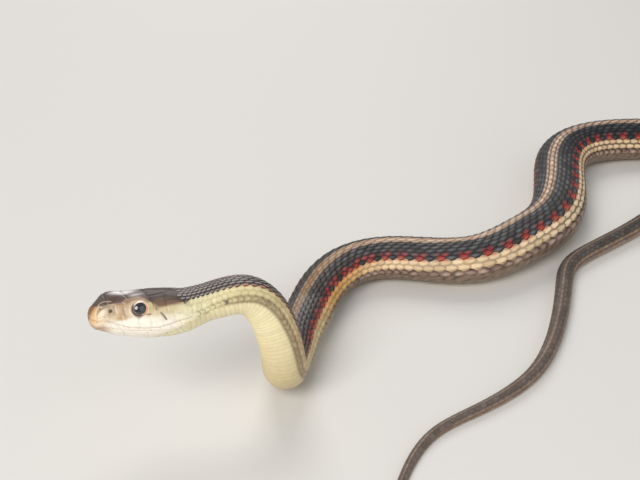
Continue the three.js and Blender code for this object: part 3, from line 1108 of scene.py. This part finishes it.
def painted_finish(name, scale, before, after, inputs):
    """A new material of painted colours that a noise makes darker and lighter in places."""
    material = bpy.data.materials.new(name)
    material.use_nodes = True
    tree = material.node_tree
    place = add_node(tree, "TexCoord", {})["Object"]
    cloud = add_node(tree, "TexNoise", {"Vector": place, "Scale": scale, "Detail": 3})["Fac"]
    tint = add_node(tree, "Attribute", {}, attribute_name="tint")["Color"]
    shade = {0: tint, "Scale": map_range(tree, cloud, before, after)}
    mixed = add_node(tree, "VectorMath", shade, operation="SCALE")["Vector"]
    connect(tree, tree.nodes["Principled BSDF"], {"Base Color": mixed, **inputs})
    return material, place, cloud


def finish_of(name, roughness, grain, grain_size, coat=0.0, shine=0.5, mottle=0.1, dull=0.0):
    """A skin or scale material: painted colours, faint mottling, uneven gloss and fine grain."""
    inputs = {"Specular IOR Level": shine, "Coat Weight": coat, "Coat Roughness": COAT_ROUGHNESS}
    material, place, cloud = painted_finish(
        name, CLOUD_SCALE, CLOUD_RANGE, (1 - mottle, 1 + mottle), inputs
    )
    tree = material.node_tree
    rough = map_range(tree, cloud, (0, 1), [roughness + end for end in GLOSS_SPREAD])
    if dull:
        distance = add_node(tree, "Attribute", {}, attribute_name="distance")["Fac"]
        rear = map_range(tree, distance, GLOSS_END, (0, dull))
        rough = add_node(tree, "Math", {0: rough, 1: rear}, operation="ADD")["Value"]
    noise = {"Vector": place, "Scale": 1 / grain_size, "Detail": 2}
    fine = add_node(tree, "TexNoise", noise)["Fac"]
    bump = add_node(tree, "Bump", {"Height": fine, "Strength": grain, "Distance": GRAIN_HEIGHT})
    shader = tree.nodes["Principled BSDF"]
    connect(tree, shader, {"Roughness": rough, "Normal": bump["Normal"]})
    return material


skin.data.materials.clear()
plate_finish = finish_of("head_plates", 0.34, 0.2, 0.0003, coat=0.2, mottle=0.07, dull=0.24)
skin.data.materials.append(plate_finish)
FLESH = ["head", "lower_jaw", "neck_1", "neck_2"]
FLESH += [f"trunk_{i}" for i in range(1, 9)]
FLESH += [f"tail_{i}" for i in range(1, 5)]
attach(skin, "root")
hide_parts(*FLESH)

# Eyes. Each is a wide dark pupil in a thin pale iris behind one clear, hard scale, since a
# snake has no lids. The ball stands in the head's socket and bulges a little out of it.
PUPIL_RADIUS = 1.2
PUPIL_BACK = 0.05
PUPIL_UP = 0.06
PUPIL_BLUR = 0.03
IRIS_RING = 1.52
IRIS_BLUR = 0.06
PUPIL_BLACK = (40, 41, 47)
IRIS = (255, 226, 206)
IRIS_EDGE = (86, 54, 44)
IRIS_SHADE = (62, 42, 36)
BALL_REAR = (20, 16, 15)
EYE_FLECK_SCALE = 4000
EYE_GLOSS = {
    "Roughness": 0.12,
    "Specular IOR Level": 0.6,
    "Coat Weight": 1.0,
    "Coat Roughness": 0.03,
}
eye_finish = painted_finish("eye_lens", EYE_FLECK_SCALE, (0, 1), (0.7, 1.25), EYE_GLOSS)[0]


def make_eye(side_name, side):
    """One eyeball, with its pupil, iris and rear painted on."""
    add = bpy.ops.mesh.primitive_uv_sphere_add
    eye = new_piece("eyeball_" + side_name, add, segments=64, ring_count=40, radius=1)
    middle, forward, back, out = eye_frame(side)
    # The sphere's pole looks outwards, and the ball is flatter that way.
    x, y, z = (places_of(eye.data) * EYE_RADIUS * np.array([1, 1, EYE_FLATNESS])).T
    points = middle + np.outer(x, forward) + np.outer(y, back) + np.outer(z, out)
    eye.data.vertices.foreach_set("co", (points * MM).ravel())
    radius = np.hypot(x + PUPIL_BACK, y - PUPIL_UP)
    turn = np.arctan2(y, x + PUPIL_BACK)
    iris = step(PUPIL_RADIUS - PUPIL_BLUR, PUPIL_RADIUS + PUPIL_BLUR, radius)
    # The iris is darker in front and low down.
    low_front = step(-0.1, 0.7, 0.8 * np.cos(turn) - 0.6 * np.sin(turn))
    colours = paint(
        plain(PUPIL_BLACK, radius.shape),
        (IRIS, iris),
        (IRIS_EDGE, step(IRIS_RING - IRIS_BLUR, IRIS_RING + IRIS_BLUR, radius)),
        (IRIS_SHADE, iris * 0.9 * low_front),
        (BALL_REAR, z < 0),
    )
    painted(eye.data, colours)
    face_outwards()
    bpy.ops.object.shade_smooth()
    eye.data.materials.append(eye_finish)
    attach(eye, "root")
    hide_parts("eye_" + side_name)


make_eye("left", 1)
make_eye("right", -1)

# Scales of the back and flanks. Each is a small horny plate with a keel down its middle,
# rooted in the skin in slanting rows, which laps over the ones behind it like a roof's slate.
# One is modelled, and then laid at each seat along and round the body.
SCALE_PARTS = 6
SCALE_SINK = -0.08
SCALE_RISE = 0.25
SCALE_ARCH = 0.09
SCALE_THICKNESS = 0.14
TIP_THICKNESS = 0.45
ROOT_WIDTH = 0.5
TIP_WIDTH = 0.14
KEEL_WIDTH = 0.17
KEEL_START = (0.05, 0.35)
# Even lines across a keeled scale are moved here, so that two mark the keel's feet.
KEEL_LINES = (-1, -0.64, -0.28, 0, 0.28, 0.64, 1)
SMOOTH_BELOW = 50


def outline(share):
    """Half width of a scale along its length, blunt at the root and pointed behind."""
    front = ROOT_WIDTH + (1 - ROOT_WIDTH) * np.sin(np.pi * np.clip(share, 0, 0.5))
    taper = (1 - (np.clip(share - 0.5, 0, 1) / 0.5) ** 2) ** 0.8
    return np.where(share < 0.5, front, TIP_WIDTH + (1 - TIP_WIDTH) * taper)


def keel_ridge(keel, x, y):
    """Height of a scale's keel at a place along and across it."""
    return keel * bell(y, 0, KEEL_WIDTH) * step(*KEEL_START, x)


def model_scale(title, lines, wide, keel):
    """One scale: length 0 to 1 along X, half width 1 along Y, heights in millimetres."""
    add = bpy.ops.mesh.primitive_grid_add
    scale = new_piece(title, add, x_subdivisions=lines, y_subdivisions=wide, size=2)
    bpy.ops.object.mode_set(mode="EDIT")
    bpy.ops.mesh.select_all(action="SELECT")
    bpy.ops.mesh.extrude_region_move(TRANSFORM_OT_translate={"value": (0, 0, 1)})
    bpy.ops.object.mode_set(mode="OBJECT")
    face_outwards()
    x, across, z = places_of(scale.data).T
    x = (x + 1) / 2
    if keel:
        across = np.interp(across, np.linspace(-1, 1, len(KEEL_LINES)), KEEL_LINES)
    top = z > 0.5
    height = SCALE_SINK + SCALE_RISE * x - SCALE_ARCH * across**2
    drop = SCALE_THICKNESS * (1 - (1 - TIP_THICKNESS) * x)
    z = np.where(top, height + keel_ridge(keel, x, across), height - drop)
    points = np.stack([x, across * outline(x), z], -1)
    # Laying a scale along the body mirrors it, so its faces are turned round first.
    faces = np.array([list(face.vertices)[::-1] for face in scale.data.polygons])
    bpy.data.objects.remove(scale)
    return points, faces, top, across


def laid_piece(name, points, faces, colours, u, v, material):
    """One piece of many scales, from the points of each and the faces of one."""
    count, corners = points.shape[:2]
    all_faces = (faces[None] + corners * np.arange(count)[:, None, None]).reshape(-1, 4)
    mesh = bpy.data.meshes.new(name)
    mesh.from_pydata((points.reshape(-1, 3) * MM).tolist(), [], all_faces.tolist())
    piece = bpy.data.objects.new(name, mesh)
    bpy.context.scene.collection.objects.link(piece)
    painted(mesh, colours.reshape(-1, 3))
    vertex = corners_of(mesh)[0]
    unwrapped(mesh, u.ravel()[vertex], v.ravel()[vertex])
    mesh.materials.append(material)
    bpy.ops.object.select_all(action="DESELECT")
    piece.select_set(True)
    bpy.context.view_layer.objects.active = piece
    bpy.ops.object.shade_smooth_by_angle(angle=np.radians(SMOOTH_BELOW))
    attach(piece, "root")


# Angles from the back between the rows, for each count of rows round the body. Over a short
# stretch the neck's edges give way to the trunk's.
NECK_EDGES = [0, 5.5, 15.5, 25.5, 35.5, 45.5, 55.5, 65, 78, 93, 112]
ROW_EDGES = {
    19: [0, 5.5, 14.5, 24, 33.5, 43.5, 53, 64, 77.5, 92, 114],
    17: [0, 6, 16, 26.5, 37.5, 49, 61.5, 77.5, 92, 114],
    9: [0, 13, 37, 62, 92, 122],
    7: [0, 17, 50, 86, 122],
    5: [0, 24, 73, 122],
}
NECK_EDGES_END = (60, 100)


def row_seats(start, end, rows):
    """Scales of a stretch: number along it, angle, half width, and which row from the belly."""
    seats = []
    edges = ROW_EDGES[rows]
    for row in range(len(edges) - 1):
        shift = 0.5 * (row % 2)
        first, last = (np.ceil(scale_number(place) - shift) for place in (start, end))
        number = np.arange(first, last) + shift
        on_trunk = step(*NECK_EDGES_END, scale_place(number))
        inner, outer = (
            NECK_EDGES[edge] * (1 - on_trunk) + edges[edge] * on_trunk for edge in (row, row + 1)
        )
        from_belly = np.full(len(number), len(edges) - 1 - row)
        if row == 0:
            seats.append(np.stack([number, 0 * number, outer, from_belly], -1))
            continue
        for side in (1, -1):
            middle = side * (inner + outer) / 2
            seats.append(np.stack([number, middle, (outer - inner) / 2, from_belly], -1))
    return np.vstack(seats)


RED = (232, 66, 54)
ORANGE = (240, 136, 98)
DARK_RED = (122, 46, 44)
RUST = (190, 104, 66)
NECK_KEEL_GLINT = (188, 174, 168)
TRUNK_GLINT = (126, 130, 132)
DARK_GAP = (16, 15, 16)
SCALE_RIM = (58, 43, 38)
BLOTCH = (72, 54, 48)
OLIVE_RIM = (112, 92, 62)
PAINTED_MIDDLE_HIGHLIGHT = (250, 232, 210)
# Stretches over which the scales' own colours and their painted glints change, by distance from the
# snout.
NECK_COAT_END = (50, 84)
NECK_GLINTS_END = (44, 84)
GLINTS_START = (40, 120)
RUST_START = (26, 34)
RUST_END = (60, 72)
RED_START = (60, 68)
FRONT_REDS_END = (112, 130)
DARK_RIMS_START = (135, 190)
TAIL_COAT_START = (440, 480)
# Place of the first red bar's middle, in scales.
BAR_MIDDLE = 0.25


def coat_colours(distance, turn, middle, from_belly, x, y, chance):
    """Colours of the scales: the ground markings, the red marks, painted glints and highlights, and
    dark rims.
    """
    neck = 1 - step(*NECK_COAT_END, distance)
    tail = step(*TAIL_COAT_START, distance)
    # Each scale takes most of its colour from its own middle, so the markings follow the rows.
    held = middle + (0.25 + 0.6 * tail) * (turn - middle)
    side = np.abs(held)
    dark = (side > STRIPE_EDGE) & (side < LATERAL_TOP)
    pale = ~dark
    spread = 0.32 - 0.14 * neck * pale
    ground = markings(distance, held) * (1 + spread * (chance - 0.5))[..., None]
    # A painted glint along the keel of each black scale on the neck.
    keel_glint = bell(y, 0, 0.22) * step(0.3, 0.42, x) * (1 - step(0.82, 0.96, x))
    glinting = (1 - step(*NECK_GLINTS_END, distance)) * (0.7 + 0.3 * chance)
    # A painted glint in the middle of each black scale, fewer where the body curls in painted shade.
    glint_spot = bell(y, 0, 0.45) * bell(x, 0.6, 0.2)
    flecked = (0.1 + 0.6 * chance) * step(*GLINTS_START, distance)
    flecked = flecked * (1 - 0.5 * step(*CURL_SHADE_START, distance))
    # A painted highlight in the middle of each pale scale, dimmer on the stretch of painted shade.
    lit = bell(y, 0, 0.5) * bell(x, 0.62, 0.22) * (0.12 + 0.3 * chance)
    lit = lit * (1 - 0.7 * bell(distance, 88, 20)) * (1 - tail) * (1 - 0.5 * neck)
    # The red bars stand across the rows, one to every second scale.
    red = step(*RED_START, distance)
    front = red * (1 - step(*FRONT_REDS_END, distance))
    bar = step(-0.2, 0.5, np.cos(np.pi * (scale_number(distance) - BAR_MIDDLE)))
    marked = np.maximum(bar, front * (chance > 0.5)) * (1 - tail) * red
    dashes = marked * bell(np.abs(y), 0.42, 0.2) * bell(x, 0.64, 0.26 - 0.06 * front)
    shadow = marked * bell(x, 0.62, 0.3)
    lower = np.sign(turn) * y > 0
    upper = np.sign(turn) * y < -0.1
    lowest, third, fourth, fifth, sixth = (from_belly == row for row in (1, 3, 4, 5, 6))
    nape = step(*RUST_START, distance) * (1 - step(*RUST_END, distance)) * bell(x, 0.66, 0.3)
    on_flank = (1 - neck) * (1 - tail) * step(LATERAL_FOOT - 6, LATERAL_FOOT, side)
    blotch = step(0.1, 0.8, body_noise(distance, turn, 0.12, 3.4))
    rim = np.clip(step(0.32, 0.6, np.abs(y)) * step(0.3, 0.5, x) + step(0.8, 0.98, x), 0, 1)
    rear = 0.4 + 0.45 * step(*DARK_RIMS_START, distance) + 0.1 * lowest
    return paint(
        ground,
        (NECK_KEEL_GLINT, dark * keel_glint * glinting),
        (TRUNK_GLINT, dark * glint_spot * flecked),
        (PAINTED_MIDDLE_HIGHLIGHT, pale * lit),
        (DARK_RED, fourth * shadow * (0.75 - 0.4 * front)),
        (RED, fourth * dashes),
        (ORANGE, fourth * dashes * lower * (0.4 + 0.5 * chance)),
        (DARK_RED, fifth * shadow * (0.3 + 0.3 * lower)),
        (RED, fifth * dashes * (0.35 + 0.3 * front + 0.55 * lower)),
        (DARK_RED, sixth * front * dashes * lower * 0.9),
        (ORANGE, third * upper * marked * bell(x, 0.6, 0.3) * (0.6 + 0.3 * front)),
        (RUST, fourth * nape * (0.3 + 0.5 * lower) * (0.4 + 0.6 * chance)),
        (BLOTCH, 0.8 * on_flank * blotch),
        (DARK_GAP, 0.5 * dark * rim * (1 - 0.6 * tail)),
        (SCALE_RIM, pale * rim * rear * (1 - neck) * (1 - 0.6 * tail)),
        (OLIVE_RIM, pale * rim * neck * (0.2 + 0.3 * step(86, 90, side))),
        (INK, 0.9 * freckles(distance, side)),
    )


# A laid scale: how far it reaches before and behind its seat, in rows, and how far over its
# neighbours. The two rows next to the belly lie flatter, and so do small scales.
REACH_FORWARD = 0.8
REACH_BACK = 0.66
SCALE_SPREAD = 1.6
LOWEST_SPREAD = 0.8
LOW_ROW_KEELS = (0.35, 0.7)
FULL_RELIEF_PITCH = 2.6
LEAST_RELIEF = 0.45
FIRST_SEAT = 0.6
PATCH_FILL = 0.82
PATCH_TOP = 0.8
PATCH_MARGIN = 0.03
COAT_HALF = 130
COAT_LANES = 2


def in_lanes(place, start, end, lanes):
    """Lane of each place on a stretch that is cut into lanes, its share of it, and its length."""
    length = (end - start) / lanes
    lane = np.clip((place - start) // length, 0, lanes - 1)
    return lane, (place - start) / length - lane, length


def patch_map(place, middle, half, x, y, top, start, end):
    """Each scale's patch, at its root's place on the coat's stretch of skin laid flat."""
    lane, at, length = in_lanes(place, start, end, COAT_LANES)
    inner = PATCH_FILL * np.where(top, PATCH_TOP, 1)
    u = at + np.interp(place, *SCALE_PITCH.T) / length * (x - 0.5) * inner
    v = (middle + half * y * inner) / (2 * COAT_HALF) + 0.5
    return inset(u, PATCH_MARGIN), (lane + inset(v, PATCH_MARGIN)) / COAT_LANES


def lay_scales(name, stretches, keel, material):
    """Lays the rows of scales of some stretches and joins them into a piece."""
    points, faces, top, across = model_scale("scale", SCALE_PARTS - 1, SCALE_PARTS, keel)
    seats = np.vstack([row_seats(*stretch) for stretch in stretches])
    start = coat_start(np.radians(seats[:, 1])) + FIRST_SEAT
    seats = seats[scale_place(seats[:, 0]) > start]
    number, middle, half, from_belly = seats.T[:, :, None]
    place = scale_place(number)
    x, y, z = points.T
    distance = scale_place(number - REACH_FORWARD + (REACH_FORWARD + REACH_BACK) * x)
    turn = middle + y * SCALE_SPREAD * half * np.where(from_belly == 1, LOWEST_SPREAD, 1)
    flatter = np.select([from_belly == 1, from_belly == 2], LOW_ROW_KEELS, 1)
    ridge = np.where(top, keel_ridge(keel, x, across), 0)
    relief = np.clip(np.interp(place, *SCALE_PITCH.T) / FULL_RELIEF_PITCH, LEAST_RELIEF, 1)
    height = (z - ridge * (1 - flatter)) * coat_size(distance) * relief
    placed = on_body(distance, np.radians(turn - roll(distance)), height)
    chance = np.random.default_rng(len(name)).random(len(number))[:, None]
    colours = coat_colours(*np.broadcast_arrays(distance, turn, middle, from_belly, x, across, chance))
    u, v = patch_map(place, middle, half, x, y, top, stretches[0][0], stretches[-1][1])
    laid_piece(name, placed, faces, colours, u, v, material)


KEEL = 0.06
TAIL_KEEL = 0.05
neck_finish = finish_of("glossy_scales", 0.42, 0.3, 0.00025, shine=0.55)
scale_finish = finish_of("keeled_scales", 0.5, 0.3, 0.00025, shine=0.28)
# Each stretch has its start, its end, and the count of rows round the body.
lay_scales("scales_neck", [(15, 82, 19)], KEEL, neck_finish)
for name, stretches in (
    ("scales_trunk_front", [(82, 250, 19)]),
    ("scales_trunk_middle", [(250, 330, 19), (330, 380, 17)]),
    ("scales_trunk_rear", [(380, 468, 17)]),
):
    lay_scales(name, stretches, KEEL, scale_finish)
tail_stretches = [(468, 540, 9), (540, 600, 7), (600, BARE_TIP, 5)]
lay_scales("scales_tail", tail_stretches, TAIL_KEEL, scale_finish)

# Belly shields. Wide, smooth horny plates, one behind the other across the whole belly, lap
# backwards from the throat to the vent, and the snake grips the ground with their free
# edges. Under the tail they are smaller and lie in pairs.
SHIELD_PITCH = np.array([
    (18, 1.1),
    (30, 1.0),
    (38, 0.8),
    (66, 0.72),
    (76, 1.2),
    (90, 2.2),
    (110, 3.0),
    (400, 3.0),
    (468, 2.5),
])
SHIELD_LINES = 5
SHIELD_PARTS = 16
TAIL_SHIELD_PARTS = 6
SHIELD_HALF = 70
TAIL_SHIELD_HALF = 33
TAIL_SHIELD_MIDDLES = (151, 209)
SHIELD_RISE = 0.2
SHIELD_THICKNESS = 0.12
SHIELD_OVERLAP = 1.5
SHIELD_BOW = 0.25
FULL_SHIELD_PITCH = 2.4
LEAST_SHIELD_RELIEF = 0.3
SMALL_SHIELD_LIFT = 0.03
ROUND_START = 0.55
ROUND_LENGTH = 0.7
ROUND_NARROWING = 0.1
SHIELD_PATCH = 0.85
SHIELD_MARGIN = 0.04
SHIELD_MAP_HALF = 0.47
SHIELD_MAP_TURN = 160
SHIELD_MAP_END = 2
NECK_SHIELDS = (19, 104)
TRUNK_SHIELDS_END = 466
TAIL_SHIELDS = (469, BARE_TIP - 0.5)
ARCH_BELLY_SHADE = (204, 184, 138)
TRUNK_BELLY = (204, 180, 148)
SHIELD_END = (124, 100, 88)
SHIELD_FLECK = (52, 41, 38)
SHIELD_CLOUD = (176, 148, 132)
SHIELD_EDGE = (176, 152, 108)
TAIL_BELLY = (176, 160, 136)
TAIL_SHIELD_EDGE = (110, 100, 92)
BELLY_TURNED = (70, 100)
BELLY_LEVEL = (240, 275)
shield_finish = finish_of("belly_shields", 0.36, 0.12, 0.0005, shine=0.5, mottle=0.05)


def shield_places(start, end):
    """Places along the body from one shield to the next."""
    places = [start]
    while places[-1] < end:
        places.append(places[-1] + np.interp(places[-1], *SHIELD_PITCH.T))
    return np.array(places)


def lay_shields(name, places, pitch, middles, half, colour_of, lanes, parts):
    """Lays shields at their places along the body and angles round it, as one piece."""
    points, faces, top, y = model_scale("shield", SHIELD_LINES, parts, 0)
    x = points[:, 0]
    place, middle = places[:, None], middles[:, None]
    gap = np.interp(place, *pitch.T)
    # A shield's free corners are rounded off.
    narrower = ROUND_NARROWING * (np.clip(x - ROUND_START, 0, 1) / ROUND_LENGTH) ** 3
    turn = middle + half * y * (1 - narrower)
    distance = place + gap * (SHIELD_OVERLAP * (x - 0.5) + SHIELD_BOW * (1 - y**2))
    relief = np.clip(gap / FULL_SHIELD_PITCH, LEAST_SHIELD_RELIEF, 1)
    height = SMALL_SHIELD_LIFT * (1 - relief) + SHIELD_RISE * relief * x
    height = (height - np.where(top, 0, SHIELD_THICKNESS)) * coat_size(distance)
    placed = on_body(distance, np.radians(turn - roll(distance)), height)
    chance = np.random.default_rng(len(name)).random(len(places))[:, None]
    colours = colour_of(distance, turn, x, chance)
    start, end = places.min() - SHIELD_MAP_END, places.max() + SHIELD_MAP_END
    lane, at, length = in_lanes(place, start, end, lanes)
    inner = np.where(top, SHIELD_PATCH, 1)
    u = inset(at + SHIELD_PATCH * gap / length * (x - 0.5) * inner, PATCH_MARGIN)
    v = 0.5 + (middle - 180) / SHIELD_MAP_TURN
    v = inset(v + SHIELD_MAP_HALF * y * inner * half / SHIELD_HALF, SHIELD_MARGIN)
    laid_piece(name, placed, faces, colours, u, (lane + v) / lanes, shield_finish)


def shield_colours(distance, turn, x, chance):
    """Colours of the belly shields: pale, with dark mottled ends, a fine line behind, and painted
    shade on the arch.
    """
    neck = 1 - step(*BELLY_TURNED, distance)
    out = 180 - np.abs(turn - 180)
    turned = 1 - step(*BELLY_LEVEL, distance)
    ends = 1 - step(128 + 12 * turned, 142 + 18 * turned, out)
    patchy = body_noise(distance, out, 0.11, 2.6)
    flecked = np.clip(step(0.1, 0.7, patchy) + step(0.75, 1, x), 0, 1)
    edge = step(0.82, 1.0, x)
    return paint(
        plain(BELLY, distance.shape) * (0.95 + 0.08 * chance)[..., None],
        # Painted shade on the belly of the raised arch.
        (ARCH_BELLY_SHADE, 0.85 * bell(distance, 57, 13)),
        (TRUNK_BELLY, 0.75 * (1 - neck)),
        (SHIELD_END, 0.9 * ends * (1 - neck)),
        (SHIELD_FLECK, 0.8 * ends * flecked * (1 - neck)),
        (SHIELD_CLOUD, 0.5 * ends * step(0.1, 0.8, -patchy) * (1 - neck)),
        (OLIVE, (1 - step(112, 120, out)) * neck * step(24, 31, distance)),
        (SHIELD_EDGE, (0.42 - 0.1 * neck) * edge),
        (OLIVE_RIM, (0.5 - 0.3 * neck) * edge * (1 - step(108, 122, out))),
        (INK, 0.9 * freckles(distance, out)),
    )


def tail_shield_colours(distance, _, x, chance):
    """Colours of the shields under the tail: greyer, with a dark edge behind."""
    ground = plain(TAIL_BELLY, distance.shape) * (0.9 + 0.14 * chance)[..., None]
    return paint(ground, (TAIL_SHIELD_EDGE, 0.5 * step(0.84, 1.0, x)))


neck_places = shield_places(*NECK_SHIELDS)
trunk_places = shield_places(neck_places[-1], TRUNK_SHIELDS_END)[1:]
for name, places, slot, lanes in (
    ("shields_neck", neck_places, "neck_skin", 4),
    ("shields_trunk", trunk_places, "trunk_skin", 5),
):
    middles = np.full(len(places), 180)
    lay_shields(
        name, places, SHIELD_PITCH, middles, SHIELD_HALF, shield_colours, lanes, SHIELD_PARTS
    )
# The tail's pairs follow its scales, and the second of a pair lies half a scale behind.
first, last = (scale_number(end) for end in TAIL_SHIELDS)
pairs = np.arange(np.ceil(first), last)
places = np.concatenate([scale_place(pairs), scale_place(pairs + 0.5)])
middles = np.repeat(TAIL_SHIELD_MIDDLES, len(pairs))
lay_shields(
    "shields_tail", places, SCALE_PITCH, middles, TAIL_SHIELD_HALF, tail_shield_colours,
    3, TAIL_SHIELD_PARTS,
)

# Throat scales. Small, smooth horny scales in slanting rows, rooted in the skin between the
# chin shields, the lower lips and the first belly shield.
THROAT_ROWS = 9
THROAT_LINES = 12
THROAT_PARTS = 4
THROAT_EDGE = 108
THROAT_START = 0.9
THROAT_END = 20.5
THROAT_REACH = 0.7
THROAT_SPREAD = 0.62
THROAT_RELIEF = 0.8
# The throat's map, by distance and by angle: its start, its size, and a patch's reach on it.
THROAT_MAP_START = (10, 100)
THROAT_MAP_SIZE = (14, 160)
THROAT_PATCH = (0.08, 0.04)
THROAT_CREAM = (238, 230, 196)
THROAT_RIM = (190, 170, 130)


def lay_throat():
    """Lays the throat's scales, in rows on both sides of the belly's middle."""
    points, faces, top, _ = model_scale("throat_scale", SCALE_PARTS - 1, THROAT_PARTS, 0)
    x, y, z = points.T
    row = np.repeat(np.arange(THROAT_ROWS), THROAT_LINES)
    number = np.tile(np.arange(THROAT_LINES), THROAT_ROWS) + 0.5 * (row % 2)
    width = (180 - THROAT_EDGE) / THROAT_ROWS * 2
    middle = THROAT_EDGE + width * (row + 0.5)
    place = scale_place(number)
    keep = (place > coat_start(np.radians(middle)) + THROAT_START) & (place < THROAT_END)
    number, middle, place = (values[keep][:, None] for values in (number, middle, place))
    distance = scale_place(number + THROAT_REACH * (2 * x - 1))
    turn = middle + THROAT_SPREAD * width * y
    height = THROAT_RELIEF * z * coat_size(distance)
    placed = on_body(distance, np.radians(turn), height)
    colours = paint(plain(THROAT_CREAM, distance.shape), (THROAT_RIM, 0.4 * step(0.85, 1.0, x)))
    inner = np.where(top, PATCH_TOP, 1)
    u = (place - THROAT_MAP_START[0]) / THROAT_MAP_SIZE[0] + THROAT_PATCH[0] * x * inner
    v = (middle - THROAT_MAP_START[1]) / THROAT_MAP_SIZE[1] + THROAT_PATCH[1] * y * inner
    laid_piece("scales_throat", placed, faces, colours, u, v, shield_finish)


lay_throat()

# Floor, light and camera. A plain pale floor stands for the ground, under one warm lamp, a
# wider cool one, a lamp behind for the rims, and a dim room.
FLOOR_SIZE = 6
FLOOR_COLOUR = (0.72, 0.7, 0.67, 1)
FLOOR_ROUGHNESS = 0.7
# Each lamp's place, the point it is aimed at, size, power and colour.
LAMPS = {
    "key_light": ((-0.42, -0.6, 0.6), (-0.03, 0.0, 0.01), 0.5, 5.8, (1.0, 0.97, 0.93)),
    "fill_light": ((0.7, -0.6, 0.5), (0.02, 0.0, 0.01), 1.1, 2.7, (0.94, 0.97, 1.0)),
    "rim_light": ((-0.15, 0.6, 0.6), (-0.05, 0.0, 0.01), 0.5, 3.2, (1.0, 0.98, 0.95)),
}
ROOM_COLOUR = (0.85, 0.88, 0.92, 1)
ROOM_STRENGTH = 0.32
CAMERA_PLACE = (-0.0786, -0.201, 0.132)
CAMERA_PITCH = 30
CAMERA_LENS = 50.625
CAMERA_NEAR = 0.01
floor = new_piece("floor", bpy.ops.mesh.primitive_plane_add, size=FLOOR_SIZE)
paper = bpy.data.materials.new("pale_floor")
paper.use_nodes = True
shader = paper.node_tree.nodes["Principled BSDF"]
connect(paper.node_tree, shader, {"Base Color": FLOOR_COLOUR, "Roughness": FLOOR_ROUGHNESS})
floor.data.materials.append(paper)
for name, (place, target, size, power, colour) in LAMPS.items():
    light = bpy.data.lights.new(name, "AREA")
    light.size = size
    light.energy = power
    light.color = colour
    lamp = bpy.data.objects.new(name, light)
    bpy.context.scene.collection.objects.link(lamp)
    lamp.location = place
    lamp.rotation_euler = (Vector(target) - Vector(place)).to_track_quat("-Z", "Y").to_euler()
world = bpy.data.worlds.new("room")
bpy.context.scene.world = world
world.use_nodes = True
room = world.node_tree.nodes["Background"]
connect(world.node_tree, room, {"Color": ROOM_COLOUR, "Strength": ROOM_STRENGTH})
bpy.context.scene.view_settings.view_transform = "Standard"
camera_data = bpy.data.cameras.new("camera")
camera_data.lens = CAMERA_LENS
camera_data.clip_start = CAMERA_NEAR
camera = bpy.data.objects.new("camera", camera_data)
bpy.context.scene.collection.objects.link(camera)
camera.location = CAMERA_PLACE
camera.rotation_euler = (np.radians(90 - CAMERA_PITCH), 0, 0)
bpy.context.scene.camera = camera
